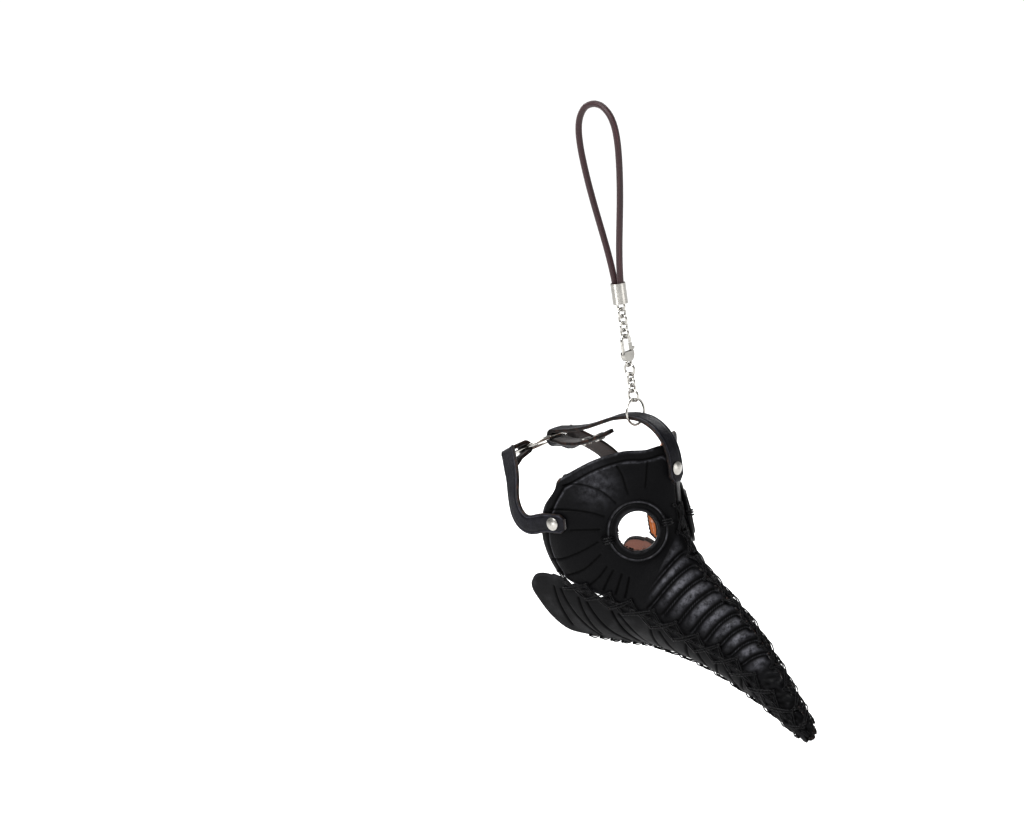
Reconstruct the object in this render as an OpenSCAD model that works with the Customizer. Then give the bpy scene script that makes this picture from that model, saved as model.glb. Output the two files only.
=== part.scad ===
// Plague doctor mask charm: a laced leather beak mask with a riveted strap harness,
// hung by a jump-ring chain and a lobster clasp from a cord loop.
// The model hangs at rest: +Z is up, +X is towards the beak, and the mask's mirror plane is Y = 0.
// The origin is inside the top of the cord loop, where a finger or a peg carries it.

/* [Mask] */
// Width of the mask over its cheeks
mask_width = 58; // [48:1:72]
// From the rear of the jaw lobes to the tip of the beak
mask_depth = 98; // [84:1:120]
// From the brow's top edge to the tip of the beak
mask_height = 96; // [84:1:118]
// Thickness of the leather panels
leather = 1.5; // [1.2:0.1:1.8]
// Gap left along the seams between panels
seam_gap = 0.3; // [0.2:0.1:0.6]
// How far the hanging mask tips forward about its hanging point
hang_tilt = 3.5; // [0:0.5:10]

/* [Eyes] */
// Diameter of the eye holes
eye_hole = 13.4; // [11:0.2:15]
// Outer diameter of the eye rings
eye_ring_od = 20.7; // [19:0.1:22]
// Thickness of the eye rings under their lips
eye_ring_thick = 1.4; // [1:0.1:2]

/* [Straps] */
// Width of the straps
strap_w = 6.6; // [5:0.2:8]
// Thickness of the strap leather
strap_t = 1.3; // [1:0.1:1.6]
// Diameter of the rivet caps
rivet_cap = 4.5; // [4:0.1:5.5]
// Diameter of the rivet shanks
rivet_shank = 1.8; // [1.4:0.1:2.2]
// Outer diameter of the strap eyelets
eyelet_od = 3.6; // [3:0.1:4.4]
// Outer diameter of the harness ring
harness_ring_od = 20; // [18:0.5:22]
// Wire of the harness ring
harness_wire = 1.3; // [1:0.1:1.6]

/* [Lacing] */
// Diameter of the lacing thread
thread = 0.9; // [0.7:0.1:1.1]
// Diameter of the knots at the lacing holes
knot = 1.9; // [1.6:0.1:2.2]
// Distance of the lacing holes from their seam
lace_reach = 2.7; // [2.2:0.1:3.2]

/* [Chain] */
// Outer diameter of the upper chain links
link_od = 3.9; // [3.4:0.1:4.6]
// Outer diameter of the lower chain links
small_link_od = 3.5; // [3.2:0.1:4]
// Wire of the chain links
link_wire = 0.75; // [0.6:0.05:0.85]
// Outer diameter of the jump rings
jump_ring_od = 4.8; // [4.4:0.1:5.4]
// Wire of the jump rings
jump_wire = 0.8; // [0.7:0.05:0.9]
// Room across the forehead strap in the ring round it
strap_ring_room = 1.4; // [1.2:0.1:3]
// Play between rings that hang in each other
ring_play = 0.06; // [0.04:0.01:0.1]

/* [Clasp] */
// Length of the lobster clasp
clasp_len = 11.5; // [11:0.5:14]
// Width of the lobster clasp
clasp_w = 5; // [4.6:0.1:5.6]
// Thickness of the lobster clasp
clasp_t = 1.8; // [1.6:0.1:2.2]
// Diameter of the clasp's pin
clasp_pin_d = 0.7; // [0.6:0.05:0.8]

/* [Cord] */
// Diameter of the cord
cord_d = 2.2; // [1.8:0.1:2.7]
// Length of the crimp
crimp_len = 7; // [6:0.5:9]
// Wall of the crimp
crimp_wall = 0.2; // [0.15:0.05:0.4]

/* [Hidden] */

$fn = 48;
fit_gap = 0.15;      // between pieces that lie on each other
hole_gap = 0.1;      // radial room round rivets and eyelets
pin_gap = 0.05;      // radial running fit of the clasp's gate on its pin
pin_seat = 0.02;     // the clasp body's pin holes are this much wider than the pin
drawn = [98, 58, 96]; // depth, width and height that the outlines below are drawn at
leather_black = [0.07, 0.07, 0.08];
thread_black = [0.03, 0.03, 0.03];
nickel = [0.80, 0.80, 0.82];
cord_brown = [0.23, 0.12, 0.13];

// ---------- the panels' shape ----------
// Each row is a line across a panel: its upper end, its lower end and how far its middle stands out.
// X is forward from the forehead, Y is the distance from the mirror plane, Z is up from the forehead rivet.
face_rows = [
    [[-26.2, 28.5, 0], [-34, 24.5, -33.5], [-6, 1.5, 0]],
    [[-17, 21.6, 5.6], [-28.5, 23.8, -36.8], [-4.2, 4.9, -1]],
    [[-9.5, 14.5, 8], [-23, 22.2, -39.3], [-2.2, 4.4, -1.4]],
    [[-4.6, 8, 7.5], [-18.5, 20.2, -41.4], [-1.1, 3.5, -1]],
    [[0, 0, 6.8], [-15, 18.5, -43.2], [0.4, 2.8, -1.2]],
    [[0.8, 0, -8], [-11.8, 17, -44.8], [1.5, 1.5, 0.1]],
    [[1.4, 0, -18], [-8.5, 15.7, -46.3], [1.9, 2, 0.3]],
    [[3.4, 0, -25], [-3, 13.9, -48.8], [1.9, 2.1, 0.8]],
    [[8.6, 0, -32], [4, 11.9, -52.4], [1.4, 2.1, 1.3]],
    [[15.4, 0, -38], [11, 10, -55.9], [1.2, 1.9, 1.3]],
    [[22.2, 0, -43.8], [17.4, 8.6, -58.9], [1.1, 1.7, 1.2]],
    [[28.8, 0, -50.2], [23, 7.2, -62], [1, 1.5, 1]],
    [[34.6, 0, -57.2], [28.2, 6, -65.9], [0.9, 1.3, 0.8]],
    [[39.6, 0, -64], [33.4, 4.9, -70.3], [0.8, 1.1, 0.6]],
    [[44.4, 0, -71.2], [39.2, 3.9, -75.8], [0.6, 0.9, 0.5]],
    [[48.2, 0, -77.6], [45, 3.2, -81.3], [0.4, 0.8, 0.3]],
    [[51, 0, -83], [49.6, 2.7, -85.8], [0.2, 0.6, 0.2]]];
jaw_rows = [
    [[-47, 24, -38.6], [-46.4, 22.9, -44], [-0.6, 0.1, 0]],
    [[-44, 24.5, -35.6], [-42.6, 20.4, -51.2], [0, 0.9, 0]],
    [[-39.5, 24.6, -34.6], [-38.5, 17, -56.6], [0, 1.8, -0.4]],
    [[-34, 24.4, -35.3], [-33.6, 13.4, -58.8], [0, 2.6, -0.9]],
    [[-28.5, 23.8, -37.2], [-28.4, 10.2, -60.2], [0, 3.1, -1.3]],
    [[-23, 22.2, -39.7], [-23.4, 6.8, -61.7], [0, 3.2, -1.7]],
    [[-18.5, 20.2, -41.8], [-18.6, 2.8, -62.9], [0, 3.2, -2]],
    [[-15, 18.5, -43.6], [-15.2, 0, -63.7], [0, 3, -2]],
    [[-8.5, 15.7, -46.7], [-12, 0, -64], [0, 2.8, -2]],
    [[-3, 13.9, -49.2], [-8, 0, -64.5], [0, 2.6, -2]],
    [[4, 11.9, -52.8], [-2, 0, -65.3], [0, 2.3, -1.9]],
    [[11, 10, -56.3], [4.4, 0, -66.7], [0, 2, -1.7]],
    [[17.4, 8.6, -59.3], [10.8, 0, -68.9], [0, 1.8, -1.5]],
    [[23, 7.2, -62.4], [17, 0, -71.6], [0, 1.6, -1.3]],
    [[28.2, 6, -66.3], [23, 0, -74.4], [0, 1.4, -1.1]],
    [[33.4, 4.9, -70.7], [29.2, 0, -77.6], [0, 1.2, -0.9]],
    [[39.2, 3.9, -76.2], [35.8, 0, -81.4], [0, 1, -0.7]],
    [[45, 3.2, -81.7], [42.2, 0, -85.4], [0, 0.9, -0.4]],
    [[49.6, 2.7, -86.2], [47.2, 0, -88.6], [0, 0.7, -0.2]]];

function sized(p) = [p.x * mask_depth / drawn.x, p.y * mask_width / drawn.y, p.z * mask_height / drawn.z];
// A smooth curve through the points of a list, at place v counted in points
function through(list, v) =
    let (n = len(list) - 1, i = min(floor(v), n - 1), t = v - i,
        a = list[max(i - 1, 0)], b = list[i], c = list[i + 1], d = list[min(i + 2, n)])
    0.5 * (2 * b + (c - a) * t + (2 * a - 5 * b + 4 * c - d) * t * t
        + (3 * b - a - 3 * c + d) * t * t * t);
function column(rows, k) = [for (row = rows) row[k]];
// The point of a panel's outer face: v counts rows and u goes from the upper end, 0, to the lower, 1
function drawn_at(rows, v, u) =
    let (top = through(column(rows, 0), v), low = through(column(rows, 1), v),
        out = through(column(rows, 2), v),
        p = top * (1 - u) + low * u + out * 4 * u * (1 - u))
    [p.x, max(p.y, 0), p.z];
function face_at(rows, v, u) = sized(drawn_at(rows, v, u)) + [0, seam_gap / 2, 0];
function unit(p) = p / norm(p);
step = 0.04; // for slopes
function face_normal(rows, v, u) =
    let (va = max(v - step, 0), vb = min(v + step, len(rows) - 1),
        ua = max(u - step, 0), ub = min(u + step, 1),
        along = face_at(rows, vb, u) - face_at(rows, va, u),
        across = face_at(rows, v, ub) - face_at(rows, v, ua))
    unit(cross(along, across));
// A point a given height above the outer face, on the left (side 1) or the right (side -1)
function over_face(rows, v, u, h, side) =
    let (p = face_at(rows, v, u) + face_normal(rows, v, u) * h) [p.x, side * p.y, p.z];
function over_normal(rows, v, u, side) =
    let (n = face_normal(rows, v, u)) [n.x, side * n.y, n.z];
// The inner face, drawn in a little along the seams and kept on its own side of the mirror plane
skive = 0.5;
function under_face(rows, v, u) =
    let (long = norm(face_at(rows, v, 1) - face_at(rows, v, 0)),
        share = min(skive / long, 0.2), inner_u = share + (1 - 2 * share) * u,
        p = face_at(rows, v, inner_u) - face_normal(rows, v, inner_u) * leather)
    [p.x, max(p.y, seam_gap / 2), p.z];

panel_steps = 8; // across a panel
panel_split = 2; // rows between two drawn ones
module panel(rows, side) {
    count = (len(rows) - 1) * panel_split;
    outer = [for (i = [0:count]) for (j = [0:panel_steps])
        face_at(rows, i / panel_split, j / panel_steps)];
    inner = [for (i = [0:count]) for (j = [0:panel_steps])
        under_face(rows, i / panel_split, j / panel_steps)];
    wide = panel_steps + 1;
    half = len(outer);
    faces = concat(
        [for (i = [0:count - 1]) for (j = [0:panel_steps - 1]) let (a = i * wide + j)
            each [[a, a + 1, a + wide], [a + 1, a + wide + 1, a + wide]]],
        [for (i = [0:count - 1]) for (j = [0:panel_steps - 1]) let (a = half + i * wide + j)
            each [[a, a + wide, a + 1], [a + 1, a + wide, a + wide + 1]]],
        [for (i = [0:count - 1]) let (a = i * wide)
            each [[a, a + wide, half + a], [half + a, a + wide, half + a + wide]]],
        [for (i = [0:count - 1]) let (a = i * wide + panel_steps)
            each [[a, half + a, a + wide], [half + a, half + a + wide, a + wide]]],
        [for (j = [0:panel_steps - 1]) each [[j, half + j, j + 1], [j + 1, half + j, half + j + 1]]],
        [for (j = [0:panel_steps - 1]) let (a = count * wide + j)
            each [[a, a + 1, half + a], [a + 1, half + a + 1, half + a]]]);
    scale([1, side, 1]) polyhedron(points = concat(outer, inner), faces = faces, convexity = 8);
}

// ---------- places on the mask ----------
eye_v = 4; // the eye's place on the face panel
eye_u = 0.5;
cheek_v = 0.72; // the cheek rivet's place on the face panel
cheek_u = 0.46;
function eye_centre(side) = over_face(face_rows, eye_v, eye_u, 0, side);
function eye_normal(side) = unit([0.70, side * 0.69, 0.13]);
forehead_v = 4.45; // the row whose upper end is level with the forehead rivet
forehead_x = face_at(face_rows, forehead_v, 0).x; // the ridge there, which the strap's back lies on

// Turns +Z onto a direction
module aim(direction) {
    d = unit(direction);
    rotate([0, acos(d.z), atan2(d.y, d.x)]) children();
}
module rod(a, b, r) {
    translate(a) aim(b - a) cylinder(h = norm(b - a), r = r, $fn = 16);
}
module ring(od, wire) {
    rotate_extrude($fn = 64) translate([(od - wire) / 2, 0]) circle(d = wire, $fn = 24);
}

module eye_cutter(side) {
    translate(eye_centre(side)) aim(eye_normal(side)) {
        translate([0, 0, -10]) cylinder(h = 20, d = eye_hole + 2 * lash_room);
        cylinder(h = 10, d = eye_ring_od + 2 * fit_gap);
    }
}
lash_room = 1; // the panel's hole is this much wider than the ring's all round

cheek_point = over_face(face_rows, cheek_v, cheek_u, 0, 1);
cheek_out = over_normal(face_rows, cheek_v, cheek_u, 1);
module cheek_axis(side) {
    scale([1, side, 1]) translate(cheek_point) aim(cheek_out) children();
}
module face_panel(side) {
    color(leather_black) difference() {
        panel(face_rows, side);
        eye_cutter(side);
        cheek_axis(side) translate([0, 0, -6]) cylinder(h = 12, d = rivet_shank + 2 * hole_gap);
        translate([forehead_x - 6, 0, 0]) aim([1, 0, 0])
            cylinder(h = 12, d = rivet_shank + 2 * hole_gap);
    }
}
module jaw_panel(side) {
    color(leather_black) panel(jaw_rows, side);
}

// ---------- eye rings and their lashings ----------
eye_lip = 0.7; // height of the raised lips
module eye_ring(side) {
    r_in = eye_hole / 2;
    r_out = eye_ring_od / 2;
    top = eye_ring_thick + eye_lip;
    color(leather_black) translate(eye_centre(side)) aim(eye_normal(side)) translate([0, 0, fit_gap])
        rotate_extrude($fn = 96) polygon([[r_in, 0], [r_out, 0], [r_out, eye_ring_thick],
            [r_out - 0.8, eye_ring_thick], [r_out - 1.2, eye_ring_thick - 0.3],
            [r_in + 1.2, eye_ring_thick - 0.1], [r_in + 0.9, top], [r_in, top]]);
}
lash_out = 1.2; // how far outside the ring its lashing goes into the panel
lash_in = 1.5;  // and how far inside its edge it comes out
lash_turn = 102;
// Two turns of thread over the ring's edge
module eye_lashing(side, turn) {
    mid = eye_ring_od / 2 + (lash_out - lash_in) / 2;
    half = (lash_out + lash_in) / 2;
    rise = eye_ring_thick - 0.6;
    foot = rise + 1.2;
    translate(eye_centre(side)) aim(eye_normal(side)) rotate(turn) for (k = [-1, 1])
        translate([mid, k * thread * 0.9, rise]) {
            rotate([90, 0, 0]) rotate_extrude(angle = 180, $fn = 48)
                translate([half, 0]) circle(d = thread, $fn = 24);
            translate([half, 0, -foot]) cylinder(h = foot, d = thread, $fn = 24);
        }
}

// ---------- lacing ----------
// A round tube through a list of points, with a radius at each; out is roughly away from the mask
module tube(line, radii, out, sides) {
    n = len(line) - 1;
    points = [for (i = [0:n])
        let (t = unit(line[min(i + 1, n)] - line[max(i - 1, 0)]), across = unit(cross(t, out)))
            for (k = [0:sides - 1]) let (turn = k * 360 / sides)
                line[i] + radii[i] * (across * cos(turn) + cross(across, t) * sin(turn))];
    faces = concat([[for (k = [sides - 1:-1:0]) k]],
        [for (i = [0:n - 1]) for (k = [0:sides - 1])
            let (a = i * sides + k, b = i * sides + (k + 1) % sides)
                each [[a, b, a + sides], [b, b + sides, a + sides]]],
        [[for (k = [0:sides - 1]) n * sides + k]]);
    polyhedron(points = points, faces = faces, convexity = 10);
}
// Two threads zigzag between the holes of two edges, one over the other, and make a row of crosses
module crosses(a_holes, b_holes, out, lift) {
    n = len(a_holes) - 1;
    for (first = [0, 1]) {
        rise = lift + first * thread * 1.25;
        line = [for (i = [0:n]) let (here = (i + first) % 2 == 0 ? a_holes[i] : b_holes[i],
                next = (i + first) % 2 == 0 ? b_holes[min(i + 1, n)] : a_holes[min(i + 1, n)])
            each i < n ? [here, here * 0.75 + next * 0.25 + unit(out) * rise * 0.8,
                here * 0.25 + next * 0.75 + unit(out) * rise * 0.8] : [here]];
        radii = [for (i = [0:n]) each i < n ? [knot / 2, thread / 2, thread / 2] : [knot / 2]];
        tube(line, radii, out, 6);
    }
}
// The place across a panel that is lace_reach away from its seam edge
function reach_u(rows, v, low) =
    let (long = norm(face_at(rows, v, 1) - face_at(rows, v, 0)),
        share = min(lace_reach / long, 0.42))
    low ? 1 - share : share;
function holes(rows, places, low, side) =
    [for (v = places) over_face(rows, v, reach_u(rows, v, low), thread / 2 + 0.1, side)];
top_places = [5.2, 6.2, 7.4, 8.5, 9.6, 10.7, 11.8, 12.8, 13.8, 14.7, 15.5];
side_places = [0.5, 2, 3.6, 5.4, 7, 8.1, 9.2, 10.3, 11.4, 12.5, 13.6, 14.7, 15.6];
bottom_places = [8, 9.2, 10.3, 11.4, 12.5, 13.6, 14.7, 15.8, 16.8, 17.5];
jaw_shift = 2; // the jaw panel has two more rows in front of the same place
function jaw_place(v) = v < 5 ? through([3.1, 4, 4.9, 5.9, 6.9, 7.6], v) : v + jaw_shift;

// ---------- straps ----------
// A flat band along a route; each stop is [point, direction of its width]
module band(stops, w, t) {
    n = len(stops) - 1;
    ahead = [for (i = [0:n]) unit(stops[min(i + 1, n)][0] - stops[max(i - 1, 0)][0])];
    points = [for (i = [0:n])
        let (p = stops[i][0], side = unit(stops[i][1]) * w / 2,
            up = unit(cross(ahead[i], side)) * t / 2)
            each [p - side - up, p + side - up, p + side + up, p - side + up]];
    faces = concat([[0, 1, 2], [0, 2, 3]],
        [for (i = [0:n - 1]) for (k = [0:3]) let (a = 4 * i + k, b = 4 * i + (k + 1) % 4)
            each [[a, a + 4, b], [b, a + 4, b + 4]]],
        [[4 * n, 4 * n + 2, 4 * n + 1], [4 * n, 4 * n + 3, 4 * n + 2]]);
    polyhedron(points = points, faces = faces, convexity = 6);
}
function smooth_stops(stops, split) =
    [for (i = [0:(len(stops) - 1) * split])
        [through(column(stops, 0), i / split), through(column(stops, 1), i / split)]];

// The harness ring lies at the back of the head, tipped forward edge up
ring_centre = sized([-58.6, 0, 3.2]);
ring_tip = 24.8;
ring_r = (harness_ring_od - harness_wire) / 2;
ring_u = [cos(ring_tip), 0, sin(ring_tip)];   // forward in the ring's plane
ring_v = [0, 1, 0];
ring_n = [-sin(ring_tip), 0, cos(ring_tip)];
// A fold round the ring's wire: the strap comes in over it and goes back under it.
// Across the strap's width the wire bends away by ring_bend, so the fold is centred half way along that.
fold_room = 0.2;
ring_bend = ring_r - sqrt(ring_r * ring_r - strap_w * strap_w / 4);
fold_r = (harness_wire + ring_bend + strap_t) / 2 + fold_room;
function on_ring(turn) =
    ring_centre + (ring_r - ring_bend / 2) * (ring_u * cos(turn) + ring_v * sin(turn));
function fold(turn, from, to, count, hand) =
    let (out = ring_u * cos(turn) + ring_v * sin(turn),
        along = hand * (ring_v * cos(turn) - ring_u * sin(turn)))
    [for (i = [0:count]) let (a = from + (to - from) * i / count)
        [on_ring(turn) + fold_r * (ring_n * cos(a) - out * sin(a)), along]];

// The forehead strap: up from the rivet, over the crown to the ring, round it and back underneath
strap_end = 4.6; // how far the straps reach past their rivets
crown = sized([-14, 0, 16.6]);
strap_x = forehead_x + fit_gap + strap_t / 2;
brow_z = face_at(face_rows, 4, 0).z; // the panels' upper edge there
forehead_route = concat(
    [for (z = [-strap_end, 0, brow_z - 2.4]) [[strap_x, 0, z], [0, 1, 0]]],
    [for (p = [[-0.2, 0, 8.8], [-3.2, 0, 12.8], [-8, 0, 15.7]]) [sized(p), [0, 1, 0]]],
    [[crown, [0, 1, 0]]],
    [for (p = [[-20.5, 0, 16], [-28, 0, 13.6], [-36, 0, 10.8], [-43.5, 0, 9.4]]) [sized(p), [0, 1, 0]]]);
forehead_tail = [for (p = [[-46, 0, 4.6], [-40, 0, 5], [-33, 0, 7], [-25.5, 0, 10.4]])
    [sized(p), [0, 1, 0]]];
forehead_stops = concat(smooth_stops(forehead_route, 2), fold(0, 0, 180, 8, 1),
    smooth_stops(forehead_tail, 2));
// Each side strap: back from the cheek rivet, up behind the mask and in to the ring, then folded back
side_turn = 95;
side_along = ring_u * sin(side_turn) - ring_v * cos(side_turn);
function from_ring(turn, out, up) =
    on_ring(turn) + out * (ring_u * cos(turn) + ring_v * sin(turn)) + up * ring_n;
cheek_along = unit([-1, 0, 0] - cheek_out * (-cheek_out.x));
strap_lift = fit_gap + strap_t / 2;
cheek_base = cheek_point + cheek_out * strap_lift;
side_route = concat(
    [for (k = [-strap_end, 0, 4.5]) [cheek_base + cheek_along * k, [0, 0, 1]]],
    [[sized([-40.5, 29.2, -16.9]), [0.05, 0, 1]], [sized([-45.5, 28.6, -14.2]), [0.35, 0, 1]],
        [sized([-49, 26.4, -9]), [0.8, 0.1, 0.75]], [sized([-52, 22.6, -3.4]), [1, 0.1, 0.5]],
        [from_ring(side_turn, 6, 1.4), side_along]]);
side_tail = [[from_ring(side_turn, 4, -2.8), side_along], [from_ring(side_turn, 8, -5), side_along]];
side_stops = concat(smooth_stops(side_route, 2), fold(side_turn, 10, 180, 8, -1), side_tail);

module forehead_strap() {
    color(leather_black) difference() {
        band(forehead_stops, strap_w, strap_t);
        translate([forehead_x - 2, 0, 0]) aim([1, 0, 0])
            cylinder(h = 8, d = rivet_shank + 2 * hole_gap);
        for (e = eyelet_spots) translate(e[0]) aim(e[1])
            cylinder(h = 6, d = eyelet_tube + 2 * hole_gap, center = true);
    }
}
module side_strap(side) {
    color(leather_black) difference() {
        scale([1, side, 1]) band(side_stops, strap_w, strap_t);
        cheek_axis(side) translate([0, 0, -2]) cylinder(h = 8, d = rivet_shank + 2 * hole_gap);
    }
}
// Eyelets in the tail of the forehead strap
eyelet_tube = eyelet_od * 0.6;
function tail_at(v) = through(column(forehead_tail, 0), v);
function tail_up(v) = unit(cross(tail_at(v + 0.1) - tail_at(v - 0.1), [0, -1, 0]));
eyelet_spots = [for (v = [1.35, 2.2]) [tail_at(v), tail_up(v)]];
module eyelet() {
    flange = 0.35;
    difference() {
        union() {
            cylinder(h = strap_t + 2 * fit_gap, d = eyelet_tube, center = true);
            for (k = [-1, 1]) translate([0, 0, k * (strap_t / 2 + fit_gap + flange / 2)])
                cylinder(h = flange, d = eyelet_od, center = true);
        }
        cylinder(h = 4, d = eyelet_tube - 0.6, center = true);
    }
}
// A double-cap rivet along +Z, with its front cap above z = grip and its back cap below z = 0
module rivet(grip) {
    cap = 0.8;
    cylinder(h = grip, d = rivet_shank);
    translate([0, 0, grip]) rotate_extrude() intersection() {
        translate([0, cap - rivet_cap]) circle(r = rivet_cap, $fn = 96);
        square([rivet_cap / 2, cap]);
    }
    translate([0, 0, -0.6]) cylinder(h = 0.6, d = rivet_cap);
}
forehead_grip = 5.2;

// ---------- the hanging chain, from the loop down ----------
// The cord's route in its own plane, from the crimp up one side, over the top and down the other
cord_lay = cord_d / 2 + 0.05; // the two ends lie side by side in the crimp
cord_route = [[cord_lay, -63], [cord_lay, -60], [1.4, -57], [2, -52], [3, -46], [4.4, -39],
    [5.8, -32], [7, -25], [7.9, -18], [8.3, -12], [8, -7], [6.7, -3], [4.2, 0], [1.5, 1.1],
    [0, 1.2], [-1.5, 1.1], [-4.2, 0], [-6.7, -3], [-8, -7], [-8.3, -12], [-7.9, -18], [-7, -25],
    [-5.8, -32], [-4.4, -39], [-3, -46], [-2, -52], [-1.4, -57], [-cord_lay, -60], [-cord_lay, -63]];
cord_mouth = -59; // the crimp's upper rim
cord_steps = 2;
module cord_tube(route, d, sides) {
    n = (len(route) - 1) * cord_steps;
    line = [for (i = [0:n]) through(route, i / cord_steps)];
    points = [for (i = [0:n])
        let (t = unit(line[min(i + 1, n)] - line[max(i - 1, 0)]), across = [t.y, 0, -t.x])
            for (k = [0:sides - 1]) let (turn = k * 360 / sides)
                [line[i].x, 0, line[i].y] + d / 2 * (across * cos(turn) + [0, sin(turn), 0])];
    faces = concat([[for (k = [0:sides - 1]) k]],
        [for (i = [0:n - 1]) for (k = [0:sides - 1])
            let (a = i * sides + k, b = i * sides + (k + 1) % sides)
                each [[a, a + sides, b], [b, a + sides, b + sides]]],
        [[for (k = [sides - 1:-1:0]) n * sides + k]]);
    polyhedron(points = points, faces = faces, convexity = 6);
}
crimp_bore = 2 * cord_d + 0.3;
crimp_floor = -63; // the cord's ends stand on the floor of the crimp
crimp_od = crimp_bore + 2 * crimp_wall;
crimp_low = cord_mouth - crimp_len;
function r_of(od, wire) = (od - wire) / 2;
crimp_eye_od = 3.8;
crimp_eye_z = crimp_low - 0.9;
// Each ring hangs in the one above: its centre is this far below the other's
function drop(od_a, wire_a, od_b, wire_b) =
    r_of(od_a, wire_a) + r_of(od_b, wire_b) - (wire_a + wire_b) / 2 - ring_play;
link_z = [for (i = [0:3]) crimp_eye_z - drop(crimp_eye_od, link_wire, link_od, link_wire)
    - i * drop(link_od, link_wire, link_od, link_wire)];
// The clasp's hook hangs on the last link: place of its pocket's top
hook_top_z = link_z[3] - r_of(link_od, link_wire) + link_wire / 2 + ring_play;
clasp_rim = 1.1;       // wire of the clasp's hook
clasp_eye_wire = 0.8;  // wire of its eye
clasp_eye_hole = 1.5;
clasp_eye_r = clasp_eye_hole / 2 + clasp_eye_wire;
clasp_eye_z = hook_top_z - clasp_len + clasp_rim + clasp_eye_r;
// The upper jump ring's wire lies in the bottom of the clasp's eye
upper_jump_z = clasp_eye_z - clasp_eye_hole / 2 + jump_wire / 2 + ring_play - r_of(jump_ring_od, jump_wire);
small_z = [for (i = [0:2]) upper_jump_z - drop(jump_ring_od, jump_wire, small_link_od, link_wire)
    - i * drop(small_link_od, link_wire, small_link_od, link_wire)];
strap_ring_od = strap_w + strap_ring_room + 2 * jump_wire;
lower_jump_z = small_z[2] - drop(small_link_od, link_wire, jump_ring_od, jump_wire);
strap_ring_z = lower_jump_z - drop(jump_ring_od, jump_wire, strap_ring_od, jump_wire);
// The strap's upper corners rest inside the ring round it
strap_rest = sqrt(pow(strap_ring_od / 2 - jump_wire - 2 * ring_play, 2) - pow(strap_w / 2, 2));
hang_z = strap_ring_z - strap_rest + strap_t / 2;

// Places the mask, drawn about its forehead rivet, under the chain
module hung() {
    translate([0, 0, hang_z]) rotate([0, hang_tilt, 0]) translate(-crown) children();
}

// ---------- the clasp, drawn in its own plane with its eye at the origin ----------
pocket_top = hook_top_z - clasp_eye_z;
hook_r = (clasp_w - clasp_rim) / 2;
hook_z = pocket_top + clasp_rim / 2 - hook_r; // centre of the hook's round top
nose_z = hook_z - 0.9;                        // where the hook's nose ends
body_z = 2.9;                                 // widest part of the body
body_top = 3.9;
pin_y = clasp_w / 2 - 1.1;
pin_z = 2.7;
gate_t = 0.9;
gate_r = 0.8;
spring_z = pin_z + 0.45;
spring_bore = 1;
spring_deep = 1.7; // depth of the spring's bore, from the gate
module clasp_place() {
    translate([0, 0, clasp_eye_z]) children();
}
// Extrudes a drawing of the Y and Z plane to a thickness along X
module plate(t) {
    rotate([90, 0, 90]) translate([0, 0, -t / 2]) linear_extrude(t) children();
}
module clasp_body() {
    color(nickel) clasp_place() difference() {
        union() {
            rotate([0, 90, 0]) ring(2 * clasp_eye_r, clasp_eye_wire);
            plate(clasp_t) intersection() {
                union() {
                    translate([0, body_z]) circle(d = clasp_w);
                    polygon([[-1.2, 1.05], [1.2, 1.05], [clasp_w / 2, body_z], [-clasp_w / 2, body_z]]);
                }
                translate([-clasp_w, 0]) square([2 * clasp_w, body_top]);
            }
            rod([0, -hook_r, body_z], [0, -hook_r, hook_z], clasp_rim / 2);
            translate([0, 0, hook_z]) rotate([90, 0, 90]) rotate_extrude(angle = 180, $fn = 64)
                translate([hook_r, 0]) circle(d = clasp_rim, $fn = 24);
            rod([0, hook_r, hook_z], [0, hook_r, nose_z], clasp_rim / 2);
        }
        translate([0, pin_y - gate_r - 0.15, pin_z - gate_r - 0.15])
            translate([-gate_t / 2 - pin_gap, 0, 0]) cube([gate_t + 2 * pin_gap, clasp_w, clasp_w]);
        translate([0, pin_y, pin_z]) rotate([0, 90, 0])
            cylinder(h = 2 * clasp_t, d = clasp_pin_d + pin_seat, center = true);
        translate([0, pin_y - gate_r, spring_z]) rotate([90, 0, 0])
            cylinder(h = spring_deep, d = spring_bore);
    }
}
module clasp_gate() {
    arm = 0.9;
    color(nickel) clasp_place() difference() {
        plate(gate_t) {
            translate([pin_y, pin_z]) circle(r = gate_r);
            polygon([[pin_y - 0.3, pin_z], [pin_y + gate_r, pin_z], [hook_r + arm / 2, pin_z + 1.2],
                [hook_r + arm / 2, nose_z - 0.1], [hook_r - arm / 2, nose_z - 0.1],
                [hook_r - arm / 2, pin_z + 1.2]]);
            polygon([[hook_r, pin_z + 0.9], [hook_r + 1.5, pin_z + 1.7],
                [hook_r + 1.5, pin_z + 2.3], [hook_r, pin_z + 2.2]]);
        }
        translate([0, pin_y, pin_z]) rotate([0, 90, 0])
            cylinder(h = 2 * clasp_t, d = clasp_pin_d + 2 * pin_gap, center = true);
    }
}
module clasp_pin() {
    color(nickel) clasp_place() translate([0, pin_y, pin_z]) rotate([0, 90, 0])
        cylinder(h = clasp_t, d = clasp_pin_d, center = true, $fn = 32);
}
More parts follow.
